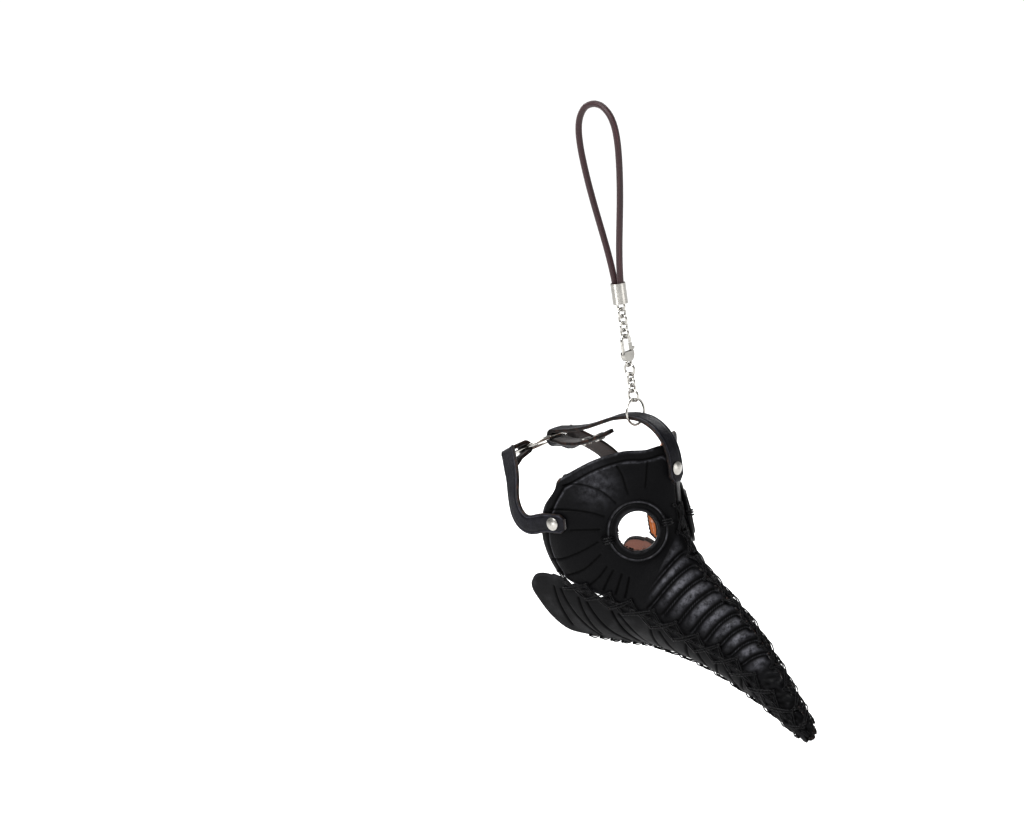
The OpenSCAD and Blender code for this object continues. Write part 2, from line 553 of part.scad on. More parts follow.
// A small coil in the body that pushes the gate shut
module clasp_spring() {
    wire = 0.18;
    turns = 4;
    sides = 6;
    low = wire / 2 + 0.03;
    long = spring_deep - wire - 0.06;
    coil_r = spring_bore / 2 - 0.06 - wire / 2;
    count = turns * 10;
    line = [for (i = [0:count]) [coil_r * cos(36 * i), coil_r * sin(36 * i), low + i * long / count]];
    points = [for (i = [0:count]) for (k = [0:sides - 1]) let (a = k * 360 / sides)
        line[i] + wire / 2 * [cos(36 * i) * cos(a), sin(36 * i) * cos(a), sin(a)]];
    faces = concat([[for (k = [sides - 1:-1:0]) k]],
        [for (i = [0:count - 1]) for (k = [0:sides - 1])
            let (a = i * sides + k, b = i * sides + (k + 1) % sides)
                each [[a, b, a + sides], [b, b + sides, a + sides]]],
        [[for (k = [0:sides - 1]) count * sides + k]]);
    color(nickel) clasp_place() translate([0, pin_y - gate_r, spring_z]) rotate([90, 0, 0])
        polyhedron(points = points, faces = faces, convexity = 8);
}

// ---------- the pieces ----------
module face_panel_right() hung() face_panel(-1);
module face_panel_left() hung() face_panel(1);
module jaw_panel_right() hung() jaw_panel(-1);
module jaw_panel_left() hung() jaw_panel(1);
module eye_ring_right() hung() eye_ring(-1);
module eye_ring_left() hung() eye_ring(1);
module eye_lashings() {
    color(thread_black) hung() for (side = [-1, 1]) {
        eye_lashing(side, -side * lash_turn);
        eye_lashing(side, -side * (lash_turn + 180));
    }
}
module top_lacing() {
    color(thread_black) hung() crosses(holes(face_rows, top_places, false, -1),
        holes(face_rows, top_places, false, 1), [0.7, 0, 0.7], 1.9);
}
module side_lacing(side) {
    color(thread_black) hung() crosses(holes(face_rows, side_places, true, side),
        holes(jaw_rows, [for (v = side_places) jaw_place(v)], false, side), [0.1, side, -0.2], 0.7);
}
module side_lacing_right() side_lacing(-1);
module side_lacing_left() side_lacing(1);
module bottom_lacing() {
    color(thread_black) hung() crosses(holes(jaw_rows, bottom_places, true, -1),
        holes(jaw_rows, bottom_places, true, 1), [-0.4, 0, -0.9], 1.3);
}
module side_strap_right() hung() side_strap(-1);
module side_strap_left() hung() side_strap(1);
module forehead_rivet() {
    color(nickel) hung() translate([strap_x + strap_t / 2 + cap_gap - forehead_grip, 0, 0])
        aim([1, 0, 0]) rivet(forehead_grip);
}
cap_gap = 0.15; // under the rivets' front caps
cheek_front = fit_gap + strap_t + cap_gap;
cheek_grip = cheek_front + leather + 0.5;
module cheek_rivets() {
    color(nickel) hung() for (side = [-1, 1]) cheek_axis(side)
        translate([0, 0, cheek_front - cheek_grip]) rivet(cheek_grip);
}
module strap_eyelets() {
    color(nickel) hung() for (e = eyelet_spots) translate(e[0]) aim(e[1]) eyelet();
}
module harness_ring() {
    color(nickel) hung() translate(ring_centre) aim(ring_n) ring(harness_ring_od, harness_wire);
}
// Rings hang alternately across and along the mirror plane
module ring_across(z, od, wire) color(nickel) translate([0, 0, z]) rotate([0, 90, 0]) ring(od, wire);
module ring_along(z, od, wire) color(nickel) translate([0, 0, z]) rotate([90, 0, 0]) ring(od, wire);
module crimp() {
    color(nickel) {
        difference() {
            translate([0, 0, crimp_low]) cylinder(h = crimp_len, d = crimp_od);
            translate([0, 0, crimp_floor]) cylinder(h = crimp_len, d = crimp_bore);
        }
        translate([0, 0, crimp_eye_z]) rotate([90, 0, 0]) ring(crimp_eye_od, link_wire);
    }
}
module cord_loop() {
    color(cord_brown) cord_tube(cord_route, cord_d, 8);
}

face_panel_right();
face_panel_left();
jaw_panel_right();
jaw_panel_left();
eye_ring_right();
eye_ring_left();
eye_lashings();
top_lacing();
side_lacing_right();
side_lacing_left();
bottom_lacing();
hung() forehead_strap();
side_strap_right();
side_strap_left();
forehead_rivet();
cheek_rivets();
strap_eyelets();
harness_ring();
ring_across(strap_ring_z, strap_ring_od, jump_wire);  // strap_ring
ring_along(lower_jump_z, jump_ring_od, jump_wire);  // lower_jump_ring
ring_across(small_z[0], small_link_od, link_wire);  // small_link_1
ring_along(small_z[1], small_link_od, link_wire);  // small_link_2
ring_across(small_z[2], small_link_od, link_wire);  // small_link_3
ring_along(upper_jump_z, jump_ring_od, jump_wire);  // upper_jump_ring
clasp_body();
clasp_gate();
clasp_pin();
clasp_spring();
ring_across(link_z[0], link_od, link_wire);  // chain_link_1
ring_along(link_z[1], link_od, link_wire);  // chain_link_2
ring_across(link_z[2], link_od, link_wire);  // chain_link_3
ring_along(link_z[3], link_od, link_wire);  // chain_link_4
crimp();
cord_loop();
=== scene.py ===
import math
import random

import bmesh
import bpy
import numpy as np
from mathutils import Matrix, Vector, kdtree, noise


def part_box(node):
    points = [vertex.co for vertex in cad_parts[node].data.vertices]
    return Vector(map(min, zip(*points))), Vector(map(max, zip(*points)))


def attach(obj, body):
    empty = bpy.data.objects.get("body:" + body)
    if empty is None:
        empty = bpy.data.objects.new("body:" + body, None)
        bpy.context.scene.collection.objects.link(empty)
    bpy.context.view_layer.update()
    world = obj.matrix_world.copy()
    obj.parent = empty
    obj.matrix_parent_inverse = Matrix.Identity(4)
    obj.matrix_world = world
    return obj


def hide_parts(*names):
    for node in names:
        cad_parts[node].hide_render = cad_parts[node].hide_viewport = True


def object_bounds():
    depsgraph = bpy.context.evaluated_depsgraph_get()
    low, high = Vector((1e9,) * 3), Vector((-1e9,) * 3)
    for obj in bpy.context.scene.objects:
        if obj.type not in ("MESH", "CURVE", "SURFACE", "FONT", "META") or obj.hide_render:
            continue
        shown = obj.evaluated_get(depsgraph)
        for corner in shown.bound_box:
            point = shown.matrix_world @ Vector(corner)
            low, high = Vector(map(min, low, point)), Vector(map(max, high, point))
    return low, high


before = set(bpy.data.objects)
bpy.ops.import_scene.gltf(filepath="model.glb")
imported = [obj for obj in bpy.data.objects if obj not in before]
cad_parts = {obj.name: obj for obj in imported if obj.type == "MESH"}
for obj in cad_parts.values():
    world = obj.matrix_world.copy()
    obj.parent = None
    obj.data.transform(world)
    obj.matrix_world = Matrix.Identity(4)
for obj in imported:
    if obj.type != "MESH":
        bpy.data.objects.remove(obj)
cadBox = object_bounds()
mm = 0.001
random.seed(12)

# the mask hangs from its crown, tipped a little; its own frame has its origin at the forehead rivet,
# X forward, Y to the wearer's left and Z up, in mm
mask = dict(
    tilt=3.5,               # degrees
    crown=(-14, 0, 16.6),
    leather=1.5,
    seamGap=0.3,
    laceReach=2.7,
)
strap = dict(width=6.6, thick=1.3, lift=0.15, endLength=4.6, jumpWire=0.8, play=0.06, ease=40, uneven=0.08)
turnBy = Matrix.Rotation(math.radians(mask["tilt"]), 3, "Y")
turnArray = np.array(turnBy)
ringLow, ringHigh = (corner.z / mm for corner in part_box("strap_ring"))
ringInside = (ringHigh - ringLow) / 2 - strap["jumpWire"]
ringSag = math.sqrt((ringInside - 2 * strap["play"]) ** 2 - (strap["width"] / 2) ** 2)
hangHeight = (ringLow + ringHigh) / 2 - ringSag + strap["thick"] / 2


def hung(points):  # from the mask's frame in mm to the row frame in metres
    moved = (np.asarray(points, float) - mask["crown"]) @ turnArray.T
    return (moved + (0, 0, hangHeight)) * mm


def turned(direction):
    return turnBy @ Vector(direction)


# camera
camera = dict(distance=1.2, sensor=36, field=0.3413, clip=0.05,
              right=(0.735, 0.671, -0.095), up=(-0.084, 0.231, 0.97),
              centre=(-53.4, 18.83))  # the frame's middle from the forehead rivet, in mm
sideways = turned(camera["right"]).normalized()
upwards = turned(camera["up"])
upwards = (upwards - sideways * upwards.dot(sideways)).normalized()
backwards = sideways.cross(upwards)
lookAt = Vector(hung((0, 0, 0))) + (sideways * camera["centre"][0] + upwards * camera["centre"][1]) * mm
cameraData = bpy.data.cameras.new("camera")
cameraData.sensor_width = camera["sensor"]
cameraData.lens = camera["sensor"] * camera["distance"] / camera["field"]
cameraData.clip_start = camera["clip"]
cameraObject = bpy.data.objects.new("camera", cameraData)
bpy.context.scene.collection.objects.link(cameraObject)
cameraObject.matrix_world = Matrix.Translation(lookAt + backwards * camera["distance"]) @ \
    Matrix((sideways, upwards, backwards)).transposed().to_4x4()
bpy.context.scene.camera = cameraObject
print("camera in place")


# materials
def linear(hexColour):
    channels = [int(hexColour[i:i + 2], 16) / 255 for i in (1, 3, 5)]
    return [c / 12.92 if c <= 0.04045 else ((c + 0.055) / 1.055) ** 2.4 for c in channels] + [1]


# an input is a value or another node's output; i6 is the socket numbered 6
def addNode(tree, kind, settings=None, **inputs):
    node = tree.nodes.new("ShaderNode" + kind)
    for name, value in (settings or {}).items():
        setattr(node, name, value)
    for name, value in inputs.items():
        socket = node.inputs[int(name[1:])] if name[1:].isdigit() else node.inputs[name.replace("_", " ")]
        if isinstance(value, bpy.types.NodeSocket):
            tree.links.new(value, socket)
        else:
            socket.default_value = value
    return node


def startMaterial(name, **settings):
    made = bpy.data.materials.new(name)
    made.use_nodes = True
    tree = made.node_tree
    shader = tree.nodes["Principled BSDF"]
    for socket, value in settings.items():
        shader.inputs[socket.replace("_", " ")].default_value = value
    place = addNode(tree, "TexCoord").outputs["Object"]
    return made, tree, shader, place


def join(tree, shader, **sockets):
    for name, output in sockets.items():
        tree.links.new(output, shader.inputs[name.replace("_", " ")])


def makeGrainLeather(name, dark, light, wearHighlightColour, roughness, grainMm, shine):
    # vegetable-tanned leather dyed black and waxed: a satin face with a fine pebble, greyer where painted
    # highlights and rubbed wear are marked, and painted shade, near black, in the tooled lines and fold valleys
    # the pebble is drawn about twice as coarse as real grain, so that it shows
    made, tree, shader, place = startMaterial(name, Specular_IOR_Level=shine)
    cloudMm, streakMm, poreDeepMm, streakDeepMm = 14, 2.2, 0.07, 0.3
    cloudy = addNode(tree, "TexNoise", Vector=place, Scale=1 / (cloudMm * mm), Detail=5)
    streaky = addNode(tree, "TexNoise", Vector=place, Scale=1 / (streakMm * mm), Detail=8, Roughness=0.65)
    pebble = addNode(tree, "TexVoronoi", dict(feature="DISTANCE_TO_EDGE"), Vector=place,
                     Scale=1 / (grainMm * mm))
    streaks = streaky.outputs["Fac"]
    # a paler grey is painted where this attribute says: painted highlights on ridges and edges, mixed with
    # rubbed wear
    wearAndHighlight = addNode(tree, "Attribute", dict(attribute_name="wearAndHighlight"))
    grooveShade = addNode(tree, "Attribute", dict(attribute_name="grooveShade")).outputs["Fac"]
    patchy = addNode(tree, "MapRange", Value=streaks, From_Min=0.36, From_Max=0.64, To_Min=0.1, To_Max=1)
    wearHighlightPatches = addNode(tree, "Math", dict(operation="MULTIPLY", use_clamp=True),
                         i0=wearAndHighlight.outputs["Fac"], i1=patchy.outputs["Result"])
    base = addNode(tree, "Mix", dict(data_type="RGBA"), Factor=cloudy.outputs["Fac"],
                   i6=linear(dark), i7=linear(light))
    retoned = addNode(tree, "Mix", dict(data_type="RGBA"), Factor=wearHighlightPatches.outputs[0],
                   i6=base.outputs[2], i7=linear(wearHighlightColour))
    # painted shade: near black mixed in along the tooled grooves and fold valleys
    darkened = addNode(tree, "Mix", dict(data_type="RGBA"), Factor=grooveShade,
                    i6=retoned.outputs[2], i7=linear("#010101"))
    rough = addNode(tree, "MapRange", Value=streaks, To_Min=roughness - 0.1, To_Max=roughness + 0.14)
    dull = addNode(tree, "Math", dict(operation="MULTIPLY_ADD", use_clamp=True),
                   i0=grooveShade, i1=0.5, i2=rough.outputs["Result"])
    pores = addNode(tree, "MapRange", Value=pebble.outputs["Distance"], From_Max=0.14)
    fine = addNode(tree, "Bump", Height=pores.outputs["Result"], Distance=poreDeepMm * mm, Strength=0.35)
    uneven = addNode(tree, "Bump", Height=streaks, Distance=streakDeepMm * mm, Strength=0.35,
                     Normal=fine.outputs["Normal"])
    join(tree, shader, Base_Color=darkened.outputs[2], Roughness=dull.outputs[0], Normal=uneven.outputs["Normal"])
    return made


def makeFleshSide(name, dark, light):
    # the undyed flesh side of the hide: matt, fibrous, tan with darker patches,
    # black where the dye creeps in round the edges
    made, tree, shader, place = startMaterial(name, Specular_IOR_Level=0.25, Sheen_Weight=0.25,
                                              Sheen_Roughness=0.6)
    patchMm, fibreMm, napMm = 9, 0.8, 0.25
    patches = addNode(tree, "TexNoise", Vector=place, Scale=1 / (patchMm * mm), Detail=6)
    fibrous = addNode(tree, "TexNoise", Vector=place, Scale=1 / (fibreMm * mm), Detail=9, Roughness=0.7)
    fibres = fibrous.outputs["Fac"]
    dyed = addNode(tree, "Attribute", dict(attribute_name="dyed"))
    darker = addNode(tree, "MapRange", Value=fibres, From_Min=0.35, From_Max=0.7, To_Min=0.3, To_Max=0)
    base = addNode(tree, "Mix", dict(data_type="RGBA"), Factor=patches.outputs["Fac"],
                   i6=linear(dark), i7=linear(light))
    retoned = addNode(tree, "Mix", dict(data_type="RGBA"), Factor=darker.outputs["Result"],
                   i6=base.outputs[2], i7=linear(dark))
    darkened = addNode(tree, "Mix", dict(data_type="RGBA"), Factor=dyed.outputs["Fac"],
                    i6=retoned.outputs[2], i7=linear("#080707"))
    rough = addNode(tree, "MapRange", Value=fibres, To_Min=0.75, To_Max=0.95)
    nap = addNode(tree, "Bump", Height=fibres, Distance=napMm * mm, Strength=0.6)
    join(tree, shader, Base_Color=darkened.outputs[2], Roughness=rough.outputs["Result"],
         Normal=nap.outputs["Normal"])
    return made


def makeCutEdge(name, dark, fleck):
    # a cut edge burnished with wax: smooth, brown where the dye hasn't reached
    made, tree, shader, place = startMaterial(name, Roughness=0.5, Specular_IOR_Level=0.2)
    layerMm, ridgeMm = 1.3, 0.12
    layers = addNode(tree, "TexNoise", Vector=place, Scale=1 / (layerMm * mm), Detail=6).outputs["Fac"]
    flecks = addNode(tree, "MapRange", Value=layers, From_Min=0.5, From_Max=0.75)
    mixed = addNode(tree, "Mix", dict(data_type="RGBA"), Factor=flecks.outputs["Result"],
                    i6=linear(dark), i7=linear(fleck))
    ridges = addNode(tree, "Bump", Height=layers, Distance=ridgeMm * mm, Strength=0.4)
    join(tree, shader, Base_Color=mixed.outputs[2], Normal=ridges.outputs["Normal"])
    return made


def makeWaxedThread(name):
    # polyester thread run through wax: near black, with a slight shine on each strand
    made, tree, shader, place = startMaterial(name, Roughness=0.36, Specular_IOR_Level=0.14)
    twistMm, strandMm = 1.1, 0.12
    twisted = addNode(tree, "TexWave", dict(bands_direction="DIAGONAL"), Vector=place,
                      Scale=0.5 / (twistMm * mm), Distortion=1.5, Detail=2)
    twist = twisted.outputs["Fac"]
    mixed = addNode(tree, "Mix", dict(data_type="RGBA"), Factor=twist,
                    i6=linear("#030304"), i7=linear("#0b0b0d"))
    strands = addNode(tree, "Bump", Height=twist, Distance=strandMm * mm, Strength=0.6)
    join(tree, shader, Base_Color=mixed.outputs[2], Normal=strands.outputs["Normal"])
    return made


def makeNickel(name, roughness):
    # polished nickel plate on steel wire: a clear mirror, greyer than silver, with fine rubbing scratches
    made, tree, shader, place = startMaterial(name, Metallic=1.0)
    scratchMm, cloudMm, scuffDeepMm = 0.6, 4, 0.02
    scratched = addNode(tree, "TexNoise", Vector=place, Scale=1 / (scratchMm * mm), Detail=8, Roughness=0.7)
    scratches = scratched.outputs["Fac"]
    cloudy = addNode(tree, "TexNoise", Vector=place, Scale=1 / (cloudMm * mm), Detail=3)
    mixed = addNode(tree, "Mix", dict(data_type="RGBA"), Factor=cloudy.outputs["Fac"],
                    i6=linear("#8e8c88"), i7=linear("#bab8b3"))
    rough = addNode(tree, "MapRange", Value=scratches, To_Min=roughness, To_Max=roughness + 0.16)
    scuffs = addNode(tree, "Bump", Height=scratches, Distance=scuffDeepMm * mm, Strength=0.25)
    join(tree, shader, Base_Color=mixed.outputs[2], Roughness=rough.outputs["Result"],
         Normal=scuffs.outputs["Normal"])
    return made


def makeCordLeather(name):
    # a round waxed leather cord: dark wine brown with long fibres, paler where they catch the light
    made, tree, shader, _ = startMaterial(name, Roughness=0.48, Sheen_Weight=0.15, Specular_IOR_Level=0.35)
    fibresAlong, fibresRound, ridgeMm = 6, 26, 0.15  # few along the cord's whole length, many round it
    along = addNode(tree, "UVMap")
    drawn = addNode(tree, "Mapping", Vector=along.outputs["UV"], Scale=(fibresAlong, fibresRound, 1))
    fibrous = addNode(tree, "TexNoise", Vector=drawn.outputs["Vector"], Scale=1, Detail=6, Roughness=0.6)
    fibres = fibrous.outputs["Fac"]
    middling = addNode(tree, "MapRange", Value=fibres, From_Min=0.3, From_Max=0.55)
    raised = addNode(tree, "MapRange", Value=fibres, From_Min=0.55, From_Max=0.78)
    base = addNode(tree, "Mix", dict(data_type="RGBA"), Factor=middling.outputs["Result"],
                   i6=linear("#14080a"), i7=linear("#2c1518"))
    pale = addNode(tree, "Mix", dict(data_type="RGBA"), Factor=raised.outputs["Result"],
                   i6=base.outputs[2], i7=linear("#5a363c"))
    ridges = addNode(tree, "Bump", Height=fibres, Distance=ridgeMm * mm, Strength=0.6)
    join(tree, shader, Base_Color=pale.outputs[2], Normal=ridges.outputs["Normal"])
    return made


# the third grey of each leather is a painted highlight colour, mixed with rubbed wear
panelLeather = makeGrainLeather("satin black leather", dark="#060607", light="#0c0c0e", wearHighlightColour="#606066",
                                roughness=0.38, grainMm=0.75, shine=0.06)
jawLeather = makeGrainLeather("matt black leather", dark="#0e0e0f", light="#171718", wearHighlightColour="#3c3c3e",
                              roughness=0.55, grainMm=0.8, shine=0.05)
strapLeather = makeGrainLeather("blue black strap leather", dark="#08080b", light="#0f0f14", wearHighlightColour="#3f3f48",
                                roughness=0.36, grainMm=0.6, shine=0.1)
ringLeather = makeGrainLeather("moulded ring leather", dark="#050506", light="#0b0b0c", wearHighlightColour="#4c4c50",
                               roughness=0.34, grainMm=0.6, shine=0.07)
tanFlesh = makeFleshSide("tan flesh side", dark="#6e370d", light="#a85d1a")
jawFlesh = makeFleshSide("red brown flesh side", dark="#46281d", light="#704334")
strapFlesh = makeFleshSide("dyed flesh side", dark="#120e0d", light="#2a1c18")
cutEdge = makeCutEdge("burnished leather edge", dark="#0d0a0a", fleck="#3a241a")
waxedThread = makeWaxedThread("waxed black thread")
nickelWire = makeNickel("polished nickel wire", roughness=0.1)
nickelCap = makeNickel("polished nickel caps", roughness=0.2)
cordLeather = makeCordLeather("wine brown waxed cord")
print("materials made")


# mesh helpers
def newPiece(name, mesh, body, materials, nodes=()):
    piece = bpy.data.objects.new(name, mesh)
    bpy.context.scene.collection.objects.link(piece)
    for material in materials:
        mesh.materials.append(material)
    mesh.polygons.foreach_set("use_smooth", [True] * len(mesh.polygons))
    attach(piece, body)
    if nodes:
        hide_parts(*nodes)
    return piece


def toMesh(bm, name):
    mesh = bpy.data.meshes.new(name)
    bm.to_mesh(mesh)
    bm.free()
    return mesh


def alongLine(points):  # direction at each point, and two directions across that don't twist
    points = np.asarray(points, float)
    ahead = np.gradient(points, axis=0)
    ahead /= np.linalg.norm(ahead, axis=1)[:, None]
    first = np.cross(ahead[0], (0.31, 0.2, 0.93))
    across = [first / np.linalg.norm(first)]
    for direction in ahead[1:]:
        kept = across[-1] - direction * across[-1].dot(direction)
        across.append(kept / np.linalg.norm(kept))
    across = np.array(across)
    return points, across, np.cross(ahead, across)


def addTube(bm, line, radius, around=8, shape=None):  # radius in metres: one value, or one for each point
    points, across, up = alongLine(line)
    last = len(points) - 1
    radii = np.broadcast_to(radius, len(points))
    uvLayer = bm.loops.layers.uv.verify()
    made = bmesh.ops.create_grid(bm, x_segments=last, y_segments=around, size=1)["verts"]
    places = {}
    for vert in made:
        i, k = round((vert.co.x + 1) / 2 * last), round((vert.co.y + 1) / 2 * around)
        places[vert] = (i, k)
    for quad in dict.fromkeys(quad for vert in made for quad in vert.link_faces):
        for loop in quad.loops:
            i, k = places[loop.vert]
            loop[uvLayer].uv = (i / last, k / around)
    for vert, (i, k) in places.items():
        angle = 2 * math.pi * (k % around) / around
        size = radii[i] * (shape(angle) if shape else 1)
        vert.co = points[i] + size * (across[i] * math.cos(angle) + up[i] * math.sin(angle))
    bmesh.ops.remove_doubles(bm, verts=made, dist=1e-7)
    edges = dict.fromkeys(edge for vert in made if vert.is_valid for edge in vert.link_edges)
    rims = [edge for edge in edges if edge.is_boundary]
    bmesh.ops.holes_fill(bm, edges=rims, sides=0)


def finishTubes(bm, name, body, material, nodes):
    bmesh.ops.recalc_face_normals(bm, faces=bm.faces)
    return newPiece(name, toMesh(bm, name), body, [material], nodes)


def smoothLine(points, count):  # an even, rounded line through given points
    points = np.asarray(points, float)
    fine = through(points, np.linspace(0, len(points) - 1, 40 * len(points)))
    run = np.concatenate([[0], np.cumsum(np.linalg.norm(np.diff(fine, axis=0), axis=1))])
    wanted = np.linspace(0, run[-1], count)
    return np.stack([np.interp(wanted, run, fine[:, k]) for k in range(fine.shape[1])], axis=1)


def through(points, place):  # a curve through the points, at places counted in points
    points = np.asarray(points, float)
    place = np.atleast_1d(np.asarray(place, float))
    last = len(points) - 1
    i = np.clip(np.floor(place).astype(int), 0, last - 1)
    t = (place - i)[:, None]
    a, b, c, d = points[np.maximum(i - 1, 0)], points[i], points[i + 1], points[np.minimum(i + 2, last)]
    return 0.5 * (2 * b + (c - a) * t + (2 * a - 5 * b + 4 * c - d) * t ** 2 + (3 * b - a - 3 * c + d) * t ** 3)


# cord loop: out of the crimp, over the hand or peg, and back into the crimp
cord = dict(thick=2.2, rings=96, around=36, fibreRidges=9, ridgeDeep=0.03, exitHeight=-59)
layBeside = cord["thick"] / 2 + 0.05
halfRoute = [(layBeside, -63), (layBeside, -60), (1.4, -57), (2, -52), (3, -46), (4.4, -39), (5.8, -32),
             (7, -25), (7.9, -18), (8.3, -12), (8, -7), (6.7, -3), (4.2, 0), (1.5, 1.1)]
cordRoute = halfRoute + [(0, 1.2)] + [(-x, z) for x, z in reversed(halfRoute)]
cordLine = smoothLine([(x, 0, z) for x, z in cordRoute], cord["rings"]) * mm


def fibreRidge(angle):
    return 1 + cord["ridgeDeep"] * math.cos(cord["fibreRidges"] * angle) * math.cos(2 * angle)


bm = bmesh.new()
addTube(bm, cordLine, cord["thick"] / 2 * mm, cord["around"], fibreRidge)
cordLoop = finishTubes(bm, "cordLoop", "loop", cordLeather, ["cord_loop"])

# the panels' surfaces: each row is its upper end, its lower end and how far its middle stands out
faceRows = [
    [(-26.2, 28.5, 0), (-34, 24.5, -33.5), (-6, 1.5, 0)],
    [(-17, 21.6, 5.6), (-28.5, 23.8, -36.8), (-4.2, 4.9, -1)],
    [(-9.5, 14.5, 8), (-23, 22.2, -39.3), (-2.2, 4.4, -1.4)],
    [(-4.6, 8, 7.5), (-18.5, 20.2, -41.4), (-1.1, 3.5, -1)],
    [(0, 0, 6.8), (-15, 18.5, -43.2), (0.4, 2.8, -1.2)],
    [(0.8, 0, -8), (-11.8, 17, -44.8), (1.5, 1.5, 0.1)],
    [(1.4, 0, -18), (-8.5, 15.7, -46.3), (1.9, 2, 0.3)],
    [(3.4, 0, -25), (-3, 13.9, -48.8), (1.9, 2.1, 0.8)],
    [(8.6, 0, -32), (4, 11.9, -52.4), (1.4, 2.1, 1.3)],
    [(15.4, 0, -38), (11, 10, -55.9), (1.2, 1.9, 1.3)],
    [(22.2, 0, -43.8), (17.4, 8.6, -58.9), (1.1, 1.7, 1.2)],
    [(28.8, 0, -50.2), (23, 7.2, -62), (1, 1.5, 1)],
    [(34.6, 0, -57.2), (28.2, 6, -65.9), (0.9, 1.3, 0.8)],
    [(39.6, 0, -64), (33.4, 4.9, -70.3), (0.8, 1.1, 0.6)],
    [(44.4, 0, -71.2), (39.2, 3.9, -75.8), (0.6, 0.9, 0.5)],
    [(48.2, 0, -77.6), (45, 3.2, -81.3), (0.4, 0.8, 0.3)],
    [(51, 0, -83), (49.6, 2.7, -85.8), (0.2, 0.6, 0.2)]]
jawRows = [
    [(-47, 24, -38.6), (-46.4, 22.9, -44), (-0.6, 0.1, 0)],
    [(-44, 24.5, -35.6), (-42.6, 20.4, -51.2), (0, 0.9, 0)],
    [(-39.5, 24.6, -34.6), (-38.5, 17, -56.6), (0, 1.8, -0.4)],
    [(-34, 24.4, -35.3), (-33.6, 13.4, -58.8), (0, 2.6, -0.9)],
    [(-28.5, 23.8, -37.2), (-28.4, 10.2, -60.2), (0, 3.1, -1.3)],
    [(-23, 22.2, -39.7), (-23.4, 6.8, -61.7), (0, 3.2, -1.7)],
    [(-18.5, 20.2, -41.8), (-18.6, 2.8, -62.9), (0, 3.2, -2)],
    [(-15, 18.5, -43.6), (-15.2, 0, -63.7), (0, 3, -2)],
    [(-8.5, 15.7, -46.7), (-12, 0, -64), (0, 2.8, -2)],
    [(-3, 13.9, -49.2), (-8, 0, -64.5), (0, 2.6, -2)],
    [(4, 11.9, -52.8), (-2, 0, -65.3), (0, 2.3, -1.9)],
    [(11, 10, -56.3), (4.4, 0, -66.7), (0, 2, -1.7)],
    [(17.4, 8.6, -59.3), (10.8, 0, -68.9), (0, 1.8, -1.5)],
    [(23, 7.2, -62.4), (17, 0, -71.6), (0, 1.6, -1.3)],
    [(28.2, 6, -66.3), (23, 0, -74.4), (0, 1.4, -1.1)],
    [(33.4, 4.9, -70.7), (29.2, 0, -77.6), (0, 1.2, -0.9)],
    [(39.2, 3.9, -76.2), (35.8, 0, -81.4), (0, 1, -0.7)],
    [(45, 3.2, -81.7), (42.2, 0, -85.4), (0, 0.9, -0.4)],
    [(49.6, 2.7, -86.2), (47.2, 0, -88.6), (0, 0.7, -0.2)]]


def faceAt(rows, v, u):  # v counts rows, u goes from the upper edge, 0, to the lower, 1; on the left side
    top, low, out = (through([row[k] for row in rows], v) for k in range(3))
    u = np.atleast_1d(np.asarray(u, float))[:, None]
    points = top * (1 - u) + low * u + out * 4 * u * (1 - u)
    points[:, 1] = np.maximum(points[:, 1], 0) + mask["seamGap"] / 2
    return points


def normalAt(rows, v, u, step=0.04):
    v, u = np.atleast_1d(np.asarray(v, float)), np.atleast_1d(np.asarray(u, float))
    last = len(rows) - 1
    along = faceAt(rows, np.minimum(v + step, last), u) - faceAt(rows, np.maximum(v - step, 0), u)
    across = faceAt(rows, v, np.minimum(u + step, 1)) - faceAt(rows, v, np.maximum(u - step, 0))
    normal = np.cross(along, across)
    return normal / np.linalg.norm(normal, axis=1)[:, None]


def onSide(points, side):
    return np.asarray(points) * (1, side, 1)


def overFace(rows, v, u, height, side):
    return onSide(faceAt(rows, v, u) + normalAt(rows, v, u) * height, side)


def surfaceLine(rows, stops, spacing=0.25):  # a tooled line over given places on the panel
    fine = smoothLine(stops, 60) if len(stops) > 2 else np.linspace(stops[0], stops[1], 60)
    points = faceAt(rows, fine[:, 0], fine[:, 1])
    run = np.concatenate([[0], np.cumsum(np.linalg.norm(np.diff(points, axis=0), axis=1))])
    wanted = np.linspace(0, run[-1], max(int(run[-1] / spacing), 2))
    return np.stack([np.interp(wanted, run, points[:, k]) for k in range(3)], axis=1)


def distanceTo(points, lines):  # how far each point is from the nearest of the lines, in mm
    samples = np.concatenate(lines)
    tree = kdtree.KDTree(len(samples))
    for index, sample in enumerate(samples):
        tree.insert(sample, index)
    tree.balance()
    return np.array([tree.find(point)[2] for point in points])


def dip(distance, width):  # 1 on a line, falling to 0 over about two widths
    return np.exp(-(distance / width) ** 2)


def fade(value):
    return np.clip(value, 0, 1)


def ripple(points, sizeMm, seed):  # soft unevenness of this size, between -1 and 1
    offset = Vector((seed, seed * 1.7, -seed))
    return np.array([noise.noise(Vector(point) / sizeMm + offset) for point in points])


